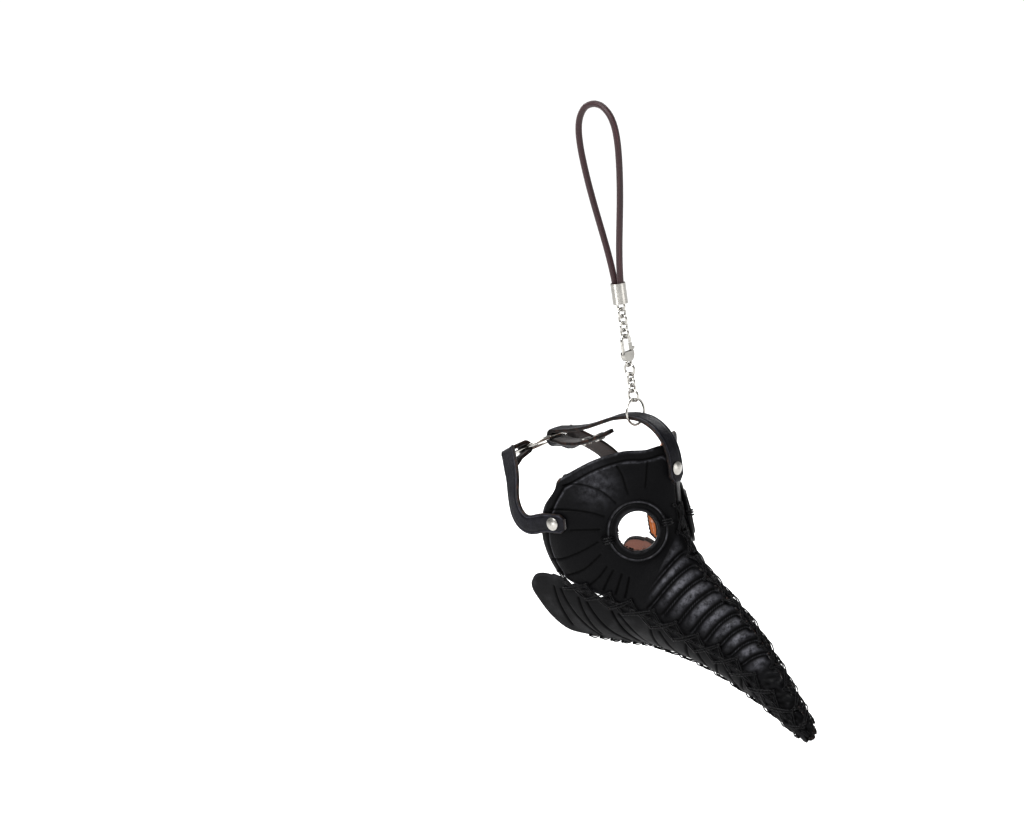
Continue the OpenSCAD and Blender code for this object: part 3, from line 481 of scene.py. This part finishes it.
# face panels: tooled border, rays round the eye, ribbed beak, wrinkled tip; depths and widths in mm
face = dict(rowSteps=20, across=120, edgeRound=0.5, uneven=0.16, strips=2,
            borderInset=3.2, borderWide=0.4, borderDeep=0.5, borderEnd=4.25, rayWide=0.36, rayDeep=0.5,
            ribs=9, ribWide=0.34, ribSplit=0.44, ribDeep=0.6, ribSwell=0.5, ribEnd=12.2,
            eyeHole=7.7, eyeFacing=(0.70, 0.69, 0.13))
tipLook = dict(wrinkles=0.7, wrinkleMm=2.4, long=0.7, slitDeep=3.2)
rays = [[(0.5, 0.12), (1.6, 0.21), (2.75, 0.33)],
        [(0.42, 0.34), (1.4, 0.37), (2.45, 0.42)],
        [(1.35, 0.52), (2.4, 0.51)],
        [(0.4, 0.83), (1.4, 0.73), (2.45, 0.6)],
        [(1.0, 0.93), (1.9, 0.83), (2.7, 0.69)],
        [(2.15, 0.09), (2.6, 0.16), (3.1, 0.27)],
        [(3.35, 0.085), (3.66, 0.24)],
        [(2.2, 0.95), (2.8, 0.85), (3.1, 0.77)],
        [(3.1, 0.95), (3.48, 0.79)],
        [(4.0, 0.95), (4.0, 0.8)],
        [(4.8, 0.94), (4.5, 0.79)]]
ribLines = []
for k in range(face["ribs"]):
    share = k / (face["ribs"] - 1)
    high, low = 6.95 + 5.2 * share, 6.1 + 5.7 * share
    ribLines.append([(high + 0.3, 0.07 + 0.05 * share), (high + 0.08, 0.17), ((high + low) / 2, 0.5),
                     (low, 0.84), (low - 0.1, 0.92)])
eyeCentre = faceAt(faceRows, 4, 0.5)[0]
eyeOut = np.array(face["eyeFacing"]) / np.linalg.norm(face["eyeFacing"])


def edgeLines(rows):  # a panel's four edges
    last = len(rows) - 1
    ends = [[(0, 0), (0, 1)], [(last, 0), (last, 1)]]
    sides = [[(v, u) for v in range(last + 1)] for u in (0, 1)]
    return [surfaceLine(rows, stops) for stops in ends + sides]


def wrinkled(rows, v, points, start, seed):  # folds over the beak's last rows, from the row at start
    tip = fade(v - start) * fade(len(rows) - 0.6 - v)
    return ripple(points * (1, 1, 1.8), tipLook["wrinkleMm"], seed) * tipLook["wrinkles"] * tip


# a relief function gives each point's height over the plain surface in mm, and how much painted groove shade,
# painted highlight with rubbed wear, and dye it takes
def faceRelief(v, u, points):
    edge = distanceTo(points, edgeLines(faceRows))
    dyed = np.maximum(fade(1.5 - edge / 0.8), (v > 5.5) * fade(2.2 - edge / 2))  # further in along the beak
    topEdge = surfaceLine(faceRows, [(k / 2, 0) for k in range(9)])
    rearEdge = surfaceLine(faceRows, [(0, 0), (0, 1)])
    rim = distanceTo(points, [topEdge, rearEdge])
    onBorder = v < face["borderEnd"]
    border = dip(rim - face["borderInset"], face["borderWide"]) * onBorder
    ray = dip(distanceTo(points, [surfaceLine(faceRows, stops) for stops in rays]), face["rayWide"])
    rib = distanceTo(points, [surfaceLine(faceRows, stops) for stops in ribLines])
    ribRows = fade((v - 6.2) / 0.4) * fade((face["ribEnd"] + 0.5 - v) / 0.5)
    onRibs = ribRows * fade((u - 0.06) / 0.06) * fade((0.95 - u) / 0.06)
    ribGroove = dip(rib - face["ribSplit"], face["ribWide"])
    swell = 1 - dip(rib, 1.6)
    folds = wrinkled(faceRows, v, points, face["ribEnd"], 3.1)
    height = -face["edgeRound"] * fade(1 - edge / 0.8) ** 2
    height -= face["borderDeep"] * border + face["rayDeep"] * ray
    height += onRibs * (face["ribSwell"] * swell - face["ribDeep"] * ribGroove)
    height += folds + face["uneven"] * ripple(points, 11, 0.4)
    # painted shade along the tooled border, rays and rib grooves, and in the fold valleys
    grooveShade = fade(np.maximum(np.maximum(border, ray), onRibs * ribGroove) + 0.6 * fade(-folds * 4))
    # painted highlights, mixed with rubbed wear: rib tops in the middle band, the rib lines, the temple, the top
    # edges and beside the border
    middle = fade(1 - np.abs(u - 0.45) / 0.42)
    ribTops = 0.9 * onRibs * fade((rib - 0.9) / 1.2) * middle
    ribBetween = 0.5 * dip(rib, 0.22) * onRibs
    temple = 0.35 * dip(np.linalg.norm(points - faceAt(faceRows, 1.7, 0.2), axis=1), 6)
    topCorner = 0.45 * dip(edge - 0.5, 0.35) * (v < 3.4)
    besideBorder = 0.55 * dip(rim - face["borderInset"] - 0.75, 0.3) * onBorder
    wearAndHighlight = np.maximum.reduce([ribTops, ribBetween, temple, topCorner, besideBorder])
    return height, dict(grooveShade=grooveShade, wearAndHighlight=wearAndHighlight, dyed=dyed)


# jaw panels: pairs of tooled lines, one straight and one curved, and the same wrinkled tip
jaw = dict(rowSteps=16, across=90, edgeRound=0.5, uneven=0.2, strips=1, lineWide=0.4, lineDeep=0.5,
           pairStarts=(2.6, 4.3, 6.6, 8.9, 10.7, 12.4, 14.0), wrinkleStart=14.5)


def jawRelief(v, u, points):
    edge = distanceTo(points, edgeLines(jawRows))
    dyed = np.maximum(fade(1.4 - edge / 0.8), (v > 5) * fade(2 - edge / 2))
    tooled = []
    for start in jaw["pairStarts"]:
        tooled.append([(start, 0.16), (start + 0.1, 0.8)])
        tooled.append([(start + 0.5, 0.16), (start + 1.0, 0.5), (start + 1.5, 0.88)])
    line = dip(distanceTo(points, [surfaceLine(jawRows, stops) for stops in tooled]), jaw["lineWide"])
    folds = wrinkled(jawRows, v, points, jaw["wrinkleStart"], 7.7)
    height = -jaw["edgeRound"] * fade(1 - edge / 0.8) ** 2 - jaw["lineDeep"] * line
    height += folds + jaw["uneven"] * ripple(points, 9, 5.5)
    # painted shade along the tooled lines and in the fold valleys
    grooveShade = fade(line + 0.6 * fade(-folds * 4))
    # a painted highlight along the rounded edges, with random paler patches of rubbed wear
    wearAndHighlight = np.maximum(0.4 * dip(edge - 0.6, 0.4), 0.25 * fade(ripple(points, 5, 2.2) * 3))
    return height, dict(grooveShade=grooveShade, wearAndHighlight=wearAndHighlight, dyed=dyed)


def closeSeam(rows, v, u, points):  # the lacing pulls face and jaw together, but for two small gaps
    across = faceAt(rows, v, np.minimum(u + 0.02, 1)) - faceAt(rows, v, np.maximum(u - 0.02, 0))
    across /= np.linalg.norm(across, axis=1)[:, None]
    if rows is jawRows:
        gaps = 1.1 * dip(v - 3.9, 0.2) + 0.9 * dip(v - 5.85, 0.17)
        return points - across * ((v > 2.6) * (0.5 - gaps) * fade(1 - u / 0.08))[:, None]
    return points + across * (0.12 * fade((u - 0.95) / 0.05))[:, None]


def cutTip(rows, v, u, points, strips):  # the beak ends in blunt strips with narrow slits between them
    last = len(rows) - 1
    near = np.minimum(v + 0.05, last)
    onward = faceAt(rows, near, u) - faceAt(rows, near - 0.1, u)
    onward /= np.linalg.norm(onward, axis=1)[:, None]
    blunt = 0.5 - np.abs(2 * (strips * u % 1) - 1) ** 5
    atTip = fade((v - last + tipLook["long"]) / tipLook["long"]) ** 2
    return points + onward * (atTip * tipLook["slitDeep"] * blunt)[:, None]


def faceTrim(u):  # the rear edge is rounded at the top and dips in above the side strap
    return 0.2 * dip(u, 0.05) + 0.24 * dip(u - 0.14, 0.11)


def jawTrim(u):  # the lobe's two corners are rounded
    return 0.42 * (2 * np.abs(u - 0.5)) ** 4


def makePanel(name, node, side, rows, relief, rearTrim, sizes, top, flesh):
    last = len(rows) - 1
    hole = sizes.get("eyeHole")
    bm = bmesh.new()
    bmesh.ops.create_grid(bm, x_segments=last * sizes["rowSteps"], y_segments=sizes["across"], size=1)
    mesh = toMesh(bm, name)
    flat = np.zeros(len(mesh.vertices) * 3)
    mesh.vertices.foreach_get("co", flat)
    flat = flat.reshape(-1, 3)
    v, u = (flat[:, 0] + 1) / 2 * last, (flat[:, 1] + 1) / 2
    v = v + fade(1 - v / 1.5) * rearTrim(u)
    points = faceAt(rows, v, u)
    height, looks = relief(v, u, points)
    drawn = closeSeam(rows, v, u, points)
    shaped = cutTip(rows, v, u, drawn, sizes["strips"]) + normalAt(rows, v, u) * height[:, None]
    shaped[:, 1] = np.maximum(shaped[:, 1], mask["seamGap"] / 2)
    if hole:
        fromEye = shaped - eyeCentre
        flatWay = fromEye - np.outer(fromEye @ eyeOut, eyeOut)
        radius = np.linalg.norm(flatWay, axis=1)
        nearEye = np.abs(fromEye @ eyeOut) < 8
        cell = 0.45  # corners this near the hole's edge are drawn on to it
        pull = (np.abs(radius - hole) < cell) & nearEye
        shaped[pull] += flatWay[pull] * ((hole - radius[pull]) / radius[pull])[:, None]
        inside = (radius < hole) & nearEye & ~pull
    mesh.vertices.foreach_set("co", hung(onSide(shaped, side)).ravel())
    for label, values in looks.items():
        mesh.attributes.new(label, "FLOAT", "POINT").data.foreach_set("value", values.astype(np.float32))
    bm = bmesh.new()
    bm.from_mesh(mesh)
    if hole:
        bm.verts.ensure_lookup_table()
        bmesh.ops.delete(bm, geom=[bm.verts[i] for i in np.nonzero(inside)[0]], context="VERTS")
        bmesh.ops.delete(bm, geom=[f for f in bm.faces if f.calc_area() < 1e-11], context="FACES")
    if side < 0:  # the mirrored side's faces turn the other way
        bmesh.ops.reverse_faces(bm, faces=bm.faces)
    bm.to_mesh(mesh)
    bm.free()
    piece = newPiece(name, mesh, "mask", [top, flesh, cutEdge], [node])
    wall = piece.modifiers.new("leather", "SOLIDIFY")
    wall.thickness = mask["leather"] * mm
    wall.offset = -1
    wall.material_offset = 1
    wall.material_offset_rim = 2


sides = (("Right", -1), ("Left", 1))
for sideName, side in sides:
    makePanel("facePanel" + sideName, "face_panel_" + sideName.lower(), side,
              faceRows, faceRelief, faceTrim, face, panelLeather, tanFlesh)
    makePanel("jawPanel" + sideName, "jaw_panel_" + sideName.lower(), side,
              jawRows, jawRelief, jawTrim, jaw, jawLeather, jawFlesh)
print("leather panels made")

# eye rings: moulded washers with a raised inner lip and a tooled line near the outside
eyeRing = dict(lift=0.15, steps=96, tooled=9.32, outerWearHighlight=9.75, innerWearHighlight=7.2, waver=0.1)
ringProfile = [(6.7, 0.1), (7.3, 0), (9.9, 0), (10.3, 0.15), (10.35, 0.6), (10.3, 1.05), (10.1, 1.35),
               (9.8, 1.42), (9.5, 1.38), (9.38, 1.16), (9.26, 1.16), (9.12, 1.36), (8.8, 1.44), (8.3, 1.36),
               (7.95, 1.3), (7.75, 1.5), (7.55, 1.9), (7.3, 2.08), (7.0, 2.08), (6.78, 1.9), (6.7, 1.5)]


def eyeMatrix(side):
    out = Vector(eyeOut * (1, side, 1))
    spun = out.to_track_quat("Z", "Y").to_matrix().to_4x4()
    local = Matrix.Translation(Vector(eyeCentre * (1, side, 1)) + out * eyeRing["lift"]) @ spun
    raised = Matrix.Translation(Vector((0, 0, hangHeight * mm))) @ Matrix.Scale(mm, 4)
    return raised @ turnBy.to_4x4() @ Matrix.Translation(-Vector(mask["crown"])) @ local


def makeEyeRing(name, side, node):
    bm = bmesh.new()
    profile = [bm.verts.new((r, 0, z)) for r, z in ringProfile]
    edges = [bm.edges.new((profile[i], profile[(i + 1) % len(profile)])) for i in range(len(profile))]
    bmesh.ops.spin(bm, geom=profile + edges, cent=(0, 0, 0), axis=(0, 0, 1), angle=2 * math.pi,
                   steps=eyeRing["steps"], use_merge=True)
    bmesh.ops.remove_doubles(bm, verts=bm.verts, dist=1e-5)
    bmesh.ops.recalc_face_normals(bm, faces=bm.faces)
    for vert in bm.verts:
        wobble = noise.noise(vert.co / 3.5 + Vector((side * 4, 0, 0)))
        vert.co.z += eyeRing["waver"] * wobble * min(1, vert.co.z)
    radii = np.array([math.hypot(v.co.x, v.co.y) for v in bm.verts])
    # painted highlights, with rubbed wear, on the outer bead and the inner lip
    ringWearAndHighlight = 0.9 * dip(radii - eyeRing["outerWearHighlight"], 0.28) + 0.35 * dip(radii - eyeRing["innerWearHighlight"], 0.35)
    # painted shade in the tooled line
    ringGrooveShade = dip(radii - eyeRing["tooled"], 0.14)
    bmesh.ops.transform(bm, matrix=eyeMatrix(side), verts=bm.verts)
    mesh = toMesh(bm, name)
    for label, values in (("grooveShade", ringGrooveShade), ("wearAndHighlight", ringWearAndHighlight)):
        mesh.attributes.new(label, "FLOAT", "POINT").data.foreach_set("value", values)
    newPiece(name, mesh, "mask", [ringLeather], [node])


for sideName, side in sides:
    makeEyeRing("eyeRing" + sideName, side, "eye_ring_" + sideName.lower())
print("eye rings made")

# lacing: doubled thread in crosses over each seam, with a knot at each hole
lace = dict(thick=0.44, knot=0.6, spread=0.42, steps=12, lift=0.45)


def addKnot(bm, centre, size, direction):
    turn = Vector(direction).to_track_quat("Z", "Y").to_matrix().to_4x4()
    place = Matrix.Translation(Vector(centre)) @ turn
    for k in range(2):  # two small turns of thread, one on the other
        ring = []
        for angle in np.linspace(0, 2 * math.pi, 13):
            high = 0.25 + 0.35 * k + 0.3 * (k - 0.5) * math.cos(angle)
            ring.append(place @ (Vector((0.75 * math.cos(angle), 0.75 * math.sin(angle), high)) * size))
        addTube(bm, ring, size * 0.42, 6)


def addRun(bm, start, end, out, rise):  # two strands side by side that bow apart between two holes
    start, end, out = (np.asarray(p, float) for p in (start, end, out))
    t = np.linspace(0, 1, lace["steps"])[:, None]
    arch = np.clip(4 * t * (1 - t), 0, 1) ** 0.6
    sideways = np.cross(end - start, out)
    sideways /= np.linalg.norm(sideways)
    for way in (-1, 1):
        bow = lace["spread"] * (0.62 + 0.5 * np.sin(math.pi * t)) * way * random.uniform(0.8, 1.2)
        line = start * (1 - t) + end * t + out * arch * rise + sideways * bow
        addTube(bm, hung(line), lace["thick"] / 2 * mm, 6)


def reachU(rows, v, low):
    long = np.linalg.norm(faceAt(rows, v, 1) - faceAt(rows, v, 0), axis=1)[0]
    share = min(mask["laceReach"] / long, 0.42)
    return 1 - share if low else share


def holes(rows, places, low, side):
    spots = [reachU(rows, v, low) for v in places]
    return ([overFace(rows, v, u, 0.25, side)[0] for v, u in zip(places, spots)],
            [onSide(normalAt(rows, v, u), side)[0] for v, u in zip(places, spots)])


def makeLacing(name, first, second, out, rise, node, extra=()):
    out = np.asarray(out, float) / np.linalg.norm(out)
    bm = bmesh.new()
    for i in range(len(first[0]) - 1):
        addRun(bm, first[0][i], second[0][i + 1], out, rise)
        addRun(bm, second[0][i], first[0][i + 1], out, rise + lace["lift"])
    middles = [(np.array(a) + b) / 2 + out * rise * 0.75 for a, b in zip(first[0], second[0])]
    for start, end in zip(middles[:-1], middles[1:]):  # a loose pair of strands along the seam itself
        addRun(bm, start + (end - start) * 0.1, end, out, 0.35)
    for spots, normals in (first, second):
        for spot, normal in zip(spots, normals):
            addKnot(bm, hung(spot), lace["knot"] * mm, turned(normal))
    for a, b in extra:
        addRun(bm, a, b, out, rise * 0.45)
        addKnot(bm, hung(a), lace["knot"] * 0.8 * mm, turned(out))
    finishTubes(bm, name, "mask", waxedThread, [node])


topPlaces = [5.2, 6.2, 7.4, 8.5, 9.6, 10.7, 11.8, 12.8, 13.8, 14.7, 15.5]
sidePlaces = [0.5, 2, 3.6, 5.4, 7, 8.1, 9.2, 10.3, 11.4, 12.5, 13.6, 14.7, 15.6]
bottomPlaces = [8, 9.2, 10.3, 11.4, 12.5, 13.6, 14.7, 15.8, 16.8, 17.5]
rearPairs = [(3.1,), (4,), (4.9,), (5.9,), (6.9,), (7.6,)]  # the jaw's rows beside the face's first six
jawPlaces = [float(through(rearPairs, v)[0, 0]) if v < 5 else v + 2 for v in sidePlaces]
makeLacing("topLacing", holes(faceRows, topPlaces, False, -1), holes(faceRows, topPlaces, False, 1),
           (0.7, 0, 0.7), 1.5, "top_lacing")
for sideName, side in sides:
    makeLacing("sideLacing" + sideName, holes(faceRows, sidePlaces, True, side),
               holes(jawRows, jawPlaces, False, side), (0.1, side, -0.2), 0.75,
               "side_lacing_" + sideName.lower())
hemPlaces = [3.4, 4.0, 4.6, 5.2, 5.8, 6.4, 7.0, 7.6]  # the thread goes on round each lower edge to the throat
hemLoops = [(overFace(jawRows, v, 0.95, 0.2, side)[0], overFace(jawRows, v + 0.35, 0.985, -0.4, side)[0])
            for side in (-1, 1) for v in hemPlaces]
makeLacing("bottomLacing", holes(jawRows, bottomPlaces, True, -1), holes(jawRows, bottomPlaces, True, 1),
           (-0.4, 0, -0.9), 1.3, "bottom_lacing", hemLoops)

# lashings: three turns of thread over each eye ring's edge, front and rear
lashing = dict(way=(0.669, -0.715, 0.203), turns=3, pitch=0.85, thick=0.72, middle=10.2, reach=1.75)
bm = bmesh.new()
for side in (-1, 1):
    outward = Vector(eyeOut * (1, side, 1))
    for end in (-1, 1):
        direction = Vector(np.array(lashing["way"]) * end * (1, side, 1)).normalized()
        beside = direction.cross(outward)
        for k in range(lashing["turns"]):
            shift = (k - (lashing["turns"] - 1) / 2) * lashing["pitch"] + random.uniform(-0.06, 0.06)
            line = []
            for step in np.linspace(0, 1, 15):
                swing = math.pi * step
                height = 0.2 + 2.35 * math.sin(swing) ** 0.75 + 0.5 * (1 - step) ** 3
                radius = lashing["middle"] - lashing["reach"] * math.cos(swing)
                offset = direction * radius + beside * (shift + 0.25 * (step - 0.5)) + outward * height
                line.append(Vector(eyeCentre * (1, side, 1)) + offset)
            addTube(bm, hung(line), lashing["thick"] / 2 * mm, 8)
finishTubes(bm, "eyeLashings", "mask", waxedThread, ["eye_lashings"])
print("lacing and lashings made")

# straps: a forehead strap and two side straps, folded round the harness ring
harness = dict(centre=(-58.6, 0, 3.2), tip=24.8, radius=9.35, wire=1.3, room=0.2, sideTurn=95,
               cheek=(0.72, 0.46))
tip = math.radians(harness["tip"])
ringForward = np.array((math.cos(tip), 0, math.sin(tip)))
ringLeft = np.array((0, 1, 0))
ringUp = np.array((-math.sin(tip), 0, math.cos(tip)))
ringBend = harness["radius"] - math.sqrt(harness["radius"] ** 2 - strap["width"] ** 2 / 4)
foldRadius = (harness["wire"] + ringBend + strap["thick"]) / 2 + harness["room"]


def ringOut(turn):
    return ringForward * math.cos(math.radians(turn)) + ringLeft * math.sin(math.radians(turn))


def fromRing(turn, out, up):
    return np.array(harness["centre"]) + (harness["radius"] - ringBend / 2 + out) * ringOut(turn) + up * ringUp


def foldStops(turn, start, end, count, hand):
    along = hand * (ringLeft * math.cos(math.radians(turn)) - ringForward * math.sin(math.radians(turn)))
    stops = []
    for k in range(count + 1):
        angle = math.radians(start + (end - start) * k / count)
        roundWire = ringUp * math.cos(angle) - ringOut(turn) * math.sin(angle)
        stops.append((fromRing(turn, 0, 0) + foldRadius * roundWire, along))
    return stops


def smoothStops(stops, split):
    places = np.arange((len(stops) - 1) * split + 1) / split
    return list(zip(through([s[0] for s in stops], places), through([s[1] for s in stops], places)))


# round a strap's section, as shares of its width and its thickness: flesh side, edge, grain side, edge
tooledHigh = 0.41
bandRound = [(-0.5, -0.2), (-0.47, -0.42), (-0.43, -0.5), (-0.2, -0.5), (0, -0.5), (0.2, -0.5), (0.43, -0.5),
             (0.47, -0.42), (0.5, -0.2), (0.5, 0.2), (0.47, 0.42), (0.43, 0.5), (0.375, 0.5),
             (0.35, tooledHigh), (0.325, 0.5), (0.2, 0.52), (0, 0.53), (-0.2, 0.52), (-0.325, 0.5),
             (-0.35, tooledHigh), (-0.375, 0.5), (-0.43, 0.5), (-0.47, 0.42), (-0.5, 0.2)]


def makeStrap(name, stops, freeStops, side, hand, tipCuts, nodes, count=150):
    centres = np.array([s[0] for s in stops])
    widths = np.array([s[1] for s in stops], float)
    run = np.concatenate([[0], np.cumsum(np.linalg.norm(np.diff(centres, axis=0), axis=1))])
    wanted = np.linspace(0, run[-1], count)
    centres, widths = (np.stack([np.interp(wanted, run, line[:, k]) for k in range(3)], axis=1)
                       for line in (centres, widths))
    # between rivet and ring the leather bends in easy curves
    loose = (wanted > 6) & (wanted < run[freeStops - 1] - 1)
    for _ in range(strap["ease"]):
        for line in (centres, widths):
            line[1:-1] += np.where(loose[1:-1, None], (line[:-2] + line[2:]) / 4 - line[1:-1] / 2, 0)
    ahead = np.gradient(centres, axis=0)
    ahead /= np.linalg.norm(ahead, axis=1)[:, None]
    widths -= ahead * np.sum(widths * ahead, axis=1)[:, None]
    widths /= np.linalg.norm(widths, axis=1)[:, None]
    up = hand * np.cross(widths, ahead)  # towards the grain side
    around = len(bandRound)
    last = count - 1
    bm = bmesh.new()
    layers = {label: bm.verts.layers.float.new(label) for label in ("grooveShade", "wearAndHighlight")}
    made = bmesh.ops.create_grid(bm, x_segments=last, y_segments=around, size=1)["verts"]
    marks = {}
    for vert in made:
        i, k = round((vert.co.x + 1) / 2 * last), round((vert.co.y + 1) / 2 * around) % around
        across, high = bandRound[k]
        cuts = [1 - narrow * (1 - distance / length)
                for distance, (narrow, length) in zip((wanted[i], run[-1] - wanted[i]), tipCuts)]
        cut = min(1, *cuts)
        point = centres[i] + widths[i] * across * cut * strap["width"] + up[i] * high * strap["thick"]
        point = point + up[i] * strap["uneven"] * noise.noise(Vector(point) / 4)
        vert.co = hung(onSide(point, side))
        # painted shade in the tooled line along each edge
        vert[layers["grooveShade"]] = 0.8 if high == tooledHigh else 0
        # a painted highlight on the bead outside each tooled line, with a little rubbed grey elsewhere
        vert[layers["wearAndHighlight"]] = 0.55 if 0.36 < abs(across) < 0.46 and high > 0.4 else 0.12
        marks[vert] = (abs(across), high)
    for quad in bm.faces:
        if any(marks[vert][0] > 0.48 for vert in quad.verts):
            quad.material_index = 2
        elif all(marks[vert][1] < -0.4 for vert in quad.verts):
            quad.material_index = 1
    bmesh.ops.remove_doubles(bm, verts=bm.verts, dist=1e-7)
    bmesh.ops.holes_fill(bm, edges=[e for e in bm.edges if e.is_boundary], sides=0)
    bmesh.ops.recalc_face_normals(bm, faces=bm.faces)
    newPiece(name, toMesh(bm, name), "mask", [strapLeather, strapFlesh, cutEdge], nodes)


foreheadX = faceAt(faceRows, 4.45, 0)[0][0]
strapX = foreheadX + strap["lift"] + strap["thick"] / 2
# the strap goes along these places from its lower end, each X and Z, and lies flat across Y all the way
foreheadWay = [(strapX, -strap["endLength"]), (strapX, 0), (strapX, 4.4), (-0.2, 8.8), (-3.2, 12.8), (-8, 15.7),
               (-14, 16.6), (-20.5, 16), (-28, 13.6), (-36, 10.8), (-43.5, 9.4)]
tailWay = [(-46, 4.6), (-40, 5), (-33, 7), (-25.5, 10.4)]
foreheadFree, foreheadTail = (smoothStops([((x, 0, z), (0, 1, 0)) for x, z in way], 6)
                              for way in (foreheadWay, tailWay))
makeStrap("foreheadStrap", foreheadFree + foldStops(0, 0, 180, 16, 1) + foreheadTail, len(foreheadFree), 1, 1,
          ((0.5, 2.0), (0.75, 4.0)), ["forehead_strap"])

cheekPoint = faceAt(faceRows, *harness["cheek"])[0]
cheekOut = normalAt(faceRows, *harness["cheek"])[0]
cheekAlong = np.array((-1, 0, 0)) + cheekOut * cheekOut[0]
cheekAlong /= np.linalg.norm(cheekAlong)
cheekBase = cheekPoint + cheekOut * (strap["lift"] + strap["thick"] / 2)
sideTurn = math.radians(harness["sideTurn"])
sideAlong = ringForward * math.sin(sideTurn) - ringLeft * math.cos(sideTurn)
sideRoute = [(cheekBase + cheekAlong * k, (0, 0, 1)) for k in (-strap["endLength"], 0, 4.5)] + \
    [((-40.5, 29.2, -16.9), (0.05, 0, 1)), ((-45.5, 28.6, -14.2), (0.35, 0, 1)),
     ((-49, 26.4, -9), (0.8, 0.1, 0.75)), ((-52, 22.6, -3.4), (1, 0.1, 0.5)),
     (fromRing(harness["sideTurn"], 6, 1.4), sideAlong)]
sideTail = [(fromRing(harness["sideTurn"], out, up), sideAlong) for out, up in ((4, -2.8), (8, -5))]
sideFree = smoothStops(sideRoute, 6)
sideStops = sideFree + foldStops(harness["sideTurn"], 10, 180, 16, -1) + sideTail
for sideName, side in sides:
    makeStrap("sideStrap" + sideName, sideStops, len(sideFree), side, -1, ((0.45, 1.8), (0.4, 1.5)),
              ["side_strap_" + sideName.lower()])
print("straps made")

# metal pieces keep their exact shapes and take their finish
metalFinish = {nickelCap: ["forehead_rivet", "cheek_rivets", "strap_eyelets", "crimp"],
               nickelWire: ["harness_ring", "strap_ring", "lower_jump_ring", "upper_jump_ring",
                            "clasp_body", "clasp_gate", "clasp_pin", "clasp_spring"] +
               [f"small_link_{k}" for k in (1, 2, 3)] + [f"chain_link_{k}" for k in (1, 2, 3, 4)]}
for material, names in metalFinish.items():
    for name in names:
        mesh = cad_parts[name].data
        mesh.materials.clear()
        mesh.materials.append(material)
print("metal finished")

# stage and light
stage = dict(below=0.06, half=15)  # metres
bm = bmesh.new()
bmesh.ops.create_grid(bm, x_segments=1, y_segments=1, size=stage["half"])
bmesh.ops.translate(bm, vec=(0, 0, cadBox[0].z - stage["below"]), verts=bm.verts)
floorMesh = toMesh(bm, "floor")
floor = bpy.data.objects.new("floor", floorMesh)
bpy.context.scene.collection.objects.link(floor)
paper, _, shader, _ = startMaterial("pale matt paper", Roughness=0.9, Specular_IOR_Level=0.1)
shader.inputs["Base Color"].default_value = linear("#fafafa")
floorMesh.materials.append(paper)

# places are along the camera's own axes, in metres from the middle of the object: right, up, towards the camera
lights = [dict(name="keyLight", at=(-0.55, 0.45, 0.75), size=0.3, power=11),
          dict(name="fillLight", at=(0.8, 0.05, 0.5), size=0.5, power=1.6),
          dict(name="lowLight", at=(-0.7, -0.35, 0.5), size=0.4, power=1.8),
          dict(name="rimLight", at=(0.35, 0.7, -0.6), size=0.4, power=4),
          dict(name="backLight", at=(-0.5, 0.5, -0.7), size=0.4, power=3)]
middle = (cadBox[0] + cadBox[1]) / 2


def fromCamera(place):
    return middle + sideways * place[0] + upwards * place[1] + backwards * place[2]


for light in lights:
    data = bpy.data.lights.new(light["name"], "AREA")
    data.size = light["size"]
    data.energy = light["power"]
    lamp = bpy.data.objects.new(light["name"], data)
    bpy.context.scene.collection.objects.link(lamp)
    lamp.location = fromCamera(light["at"])
    lamp.rotation_euler = (middle - lamp.location).to_track_quat("-Z", "Y").to_euler()
# one wide soft light from above keeps the floor even; a gamma under 1 gives deeper blacks
sky = dict(strength=2.5, spread=35, lean=(18, -12), worldStrength=0.4, gamma=0.88)
skyData = bpy.data.lights.new("skyLight", "SUN")
skyData.energy = sky["strength"]
skyData.angle = math.radians(sky["spread"])
skyLamp = bpy.data.objects.new("skyLight", skyData)
skyLamp.rotation_euler = [math.radians(angle) for angle in sky["lean"]] + [0]
bpy.context.scene.collection.objects.link(skyLamp)
world = bpy.data.worlds.new("studio")
bpy.context.scene.world = world
world.use_nodes = True
world.node_tree.nodes["Background"].inputs["Color"].default_value = (1, 1, 1, 1)
world.node_tree.nodes["Background"].inputs["Strength"].default_value = sky["worldStrength"]
bpy.context.scene.view_settings.view_transform = "Standard"
bpy.context.scene.view_settings.gamma = sky["gamma"]
print("stage and lights made")
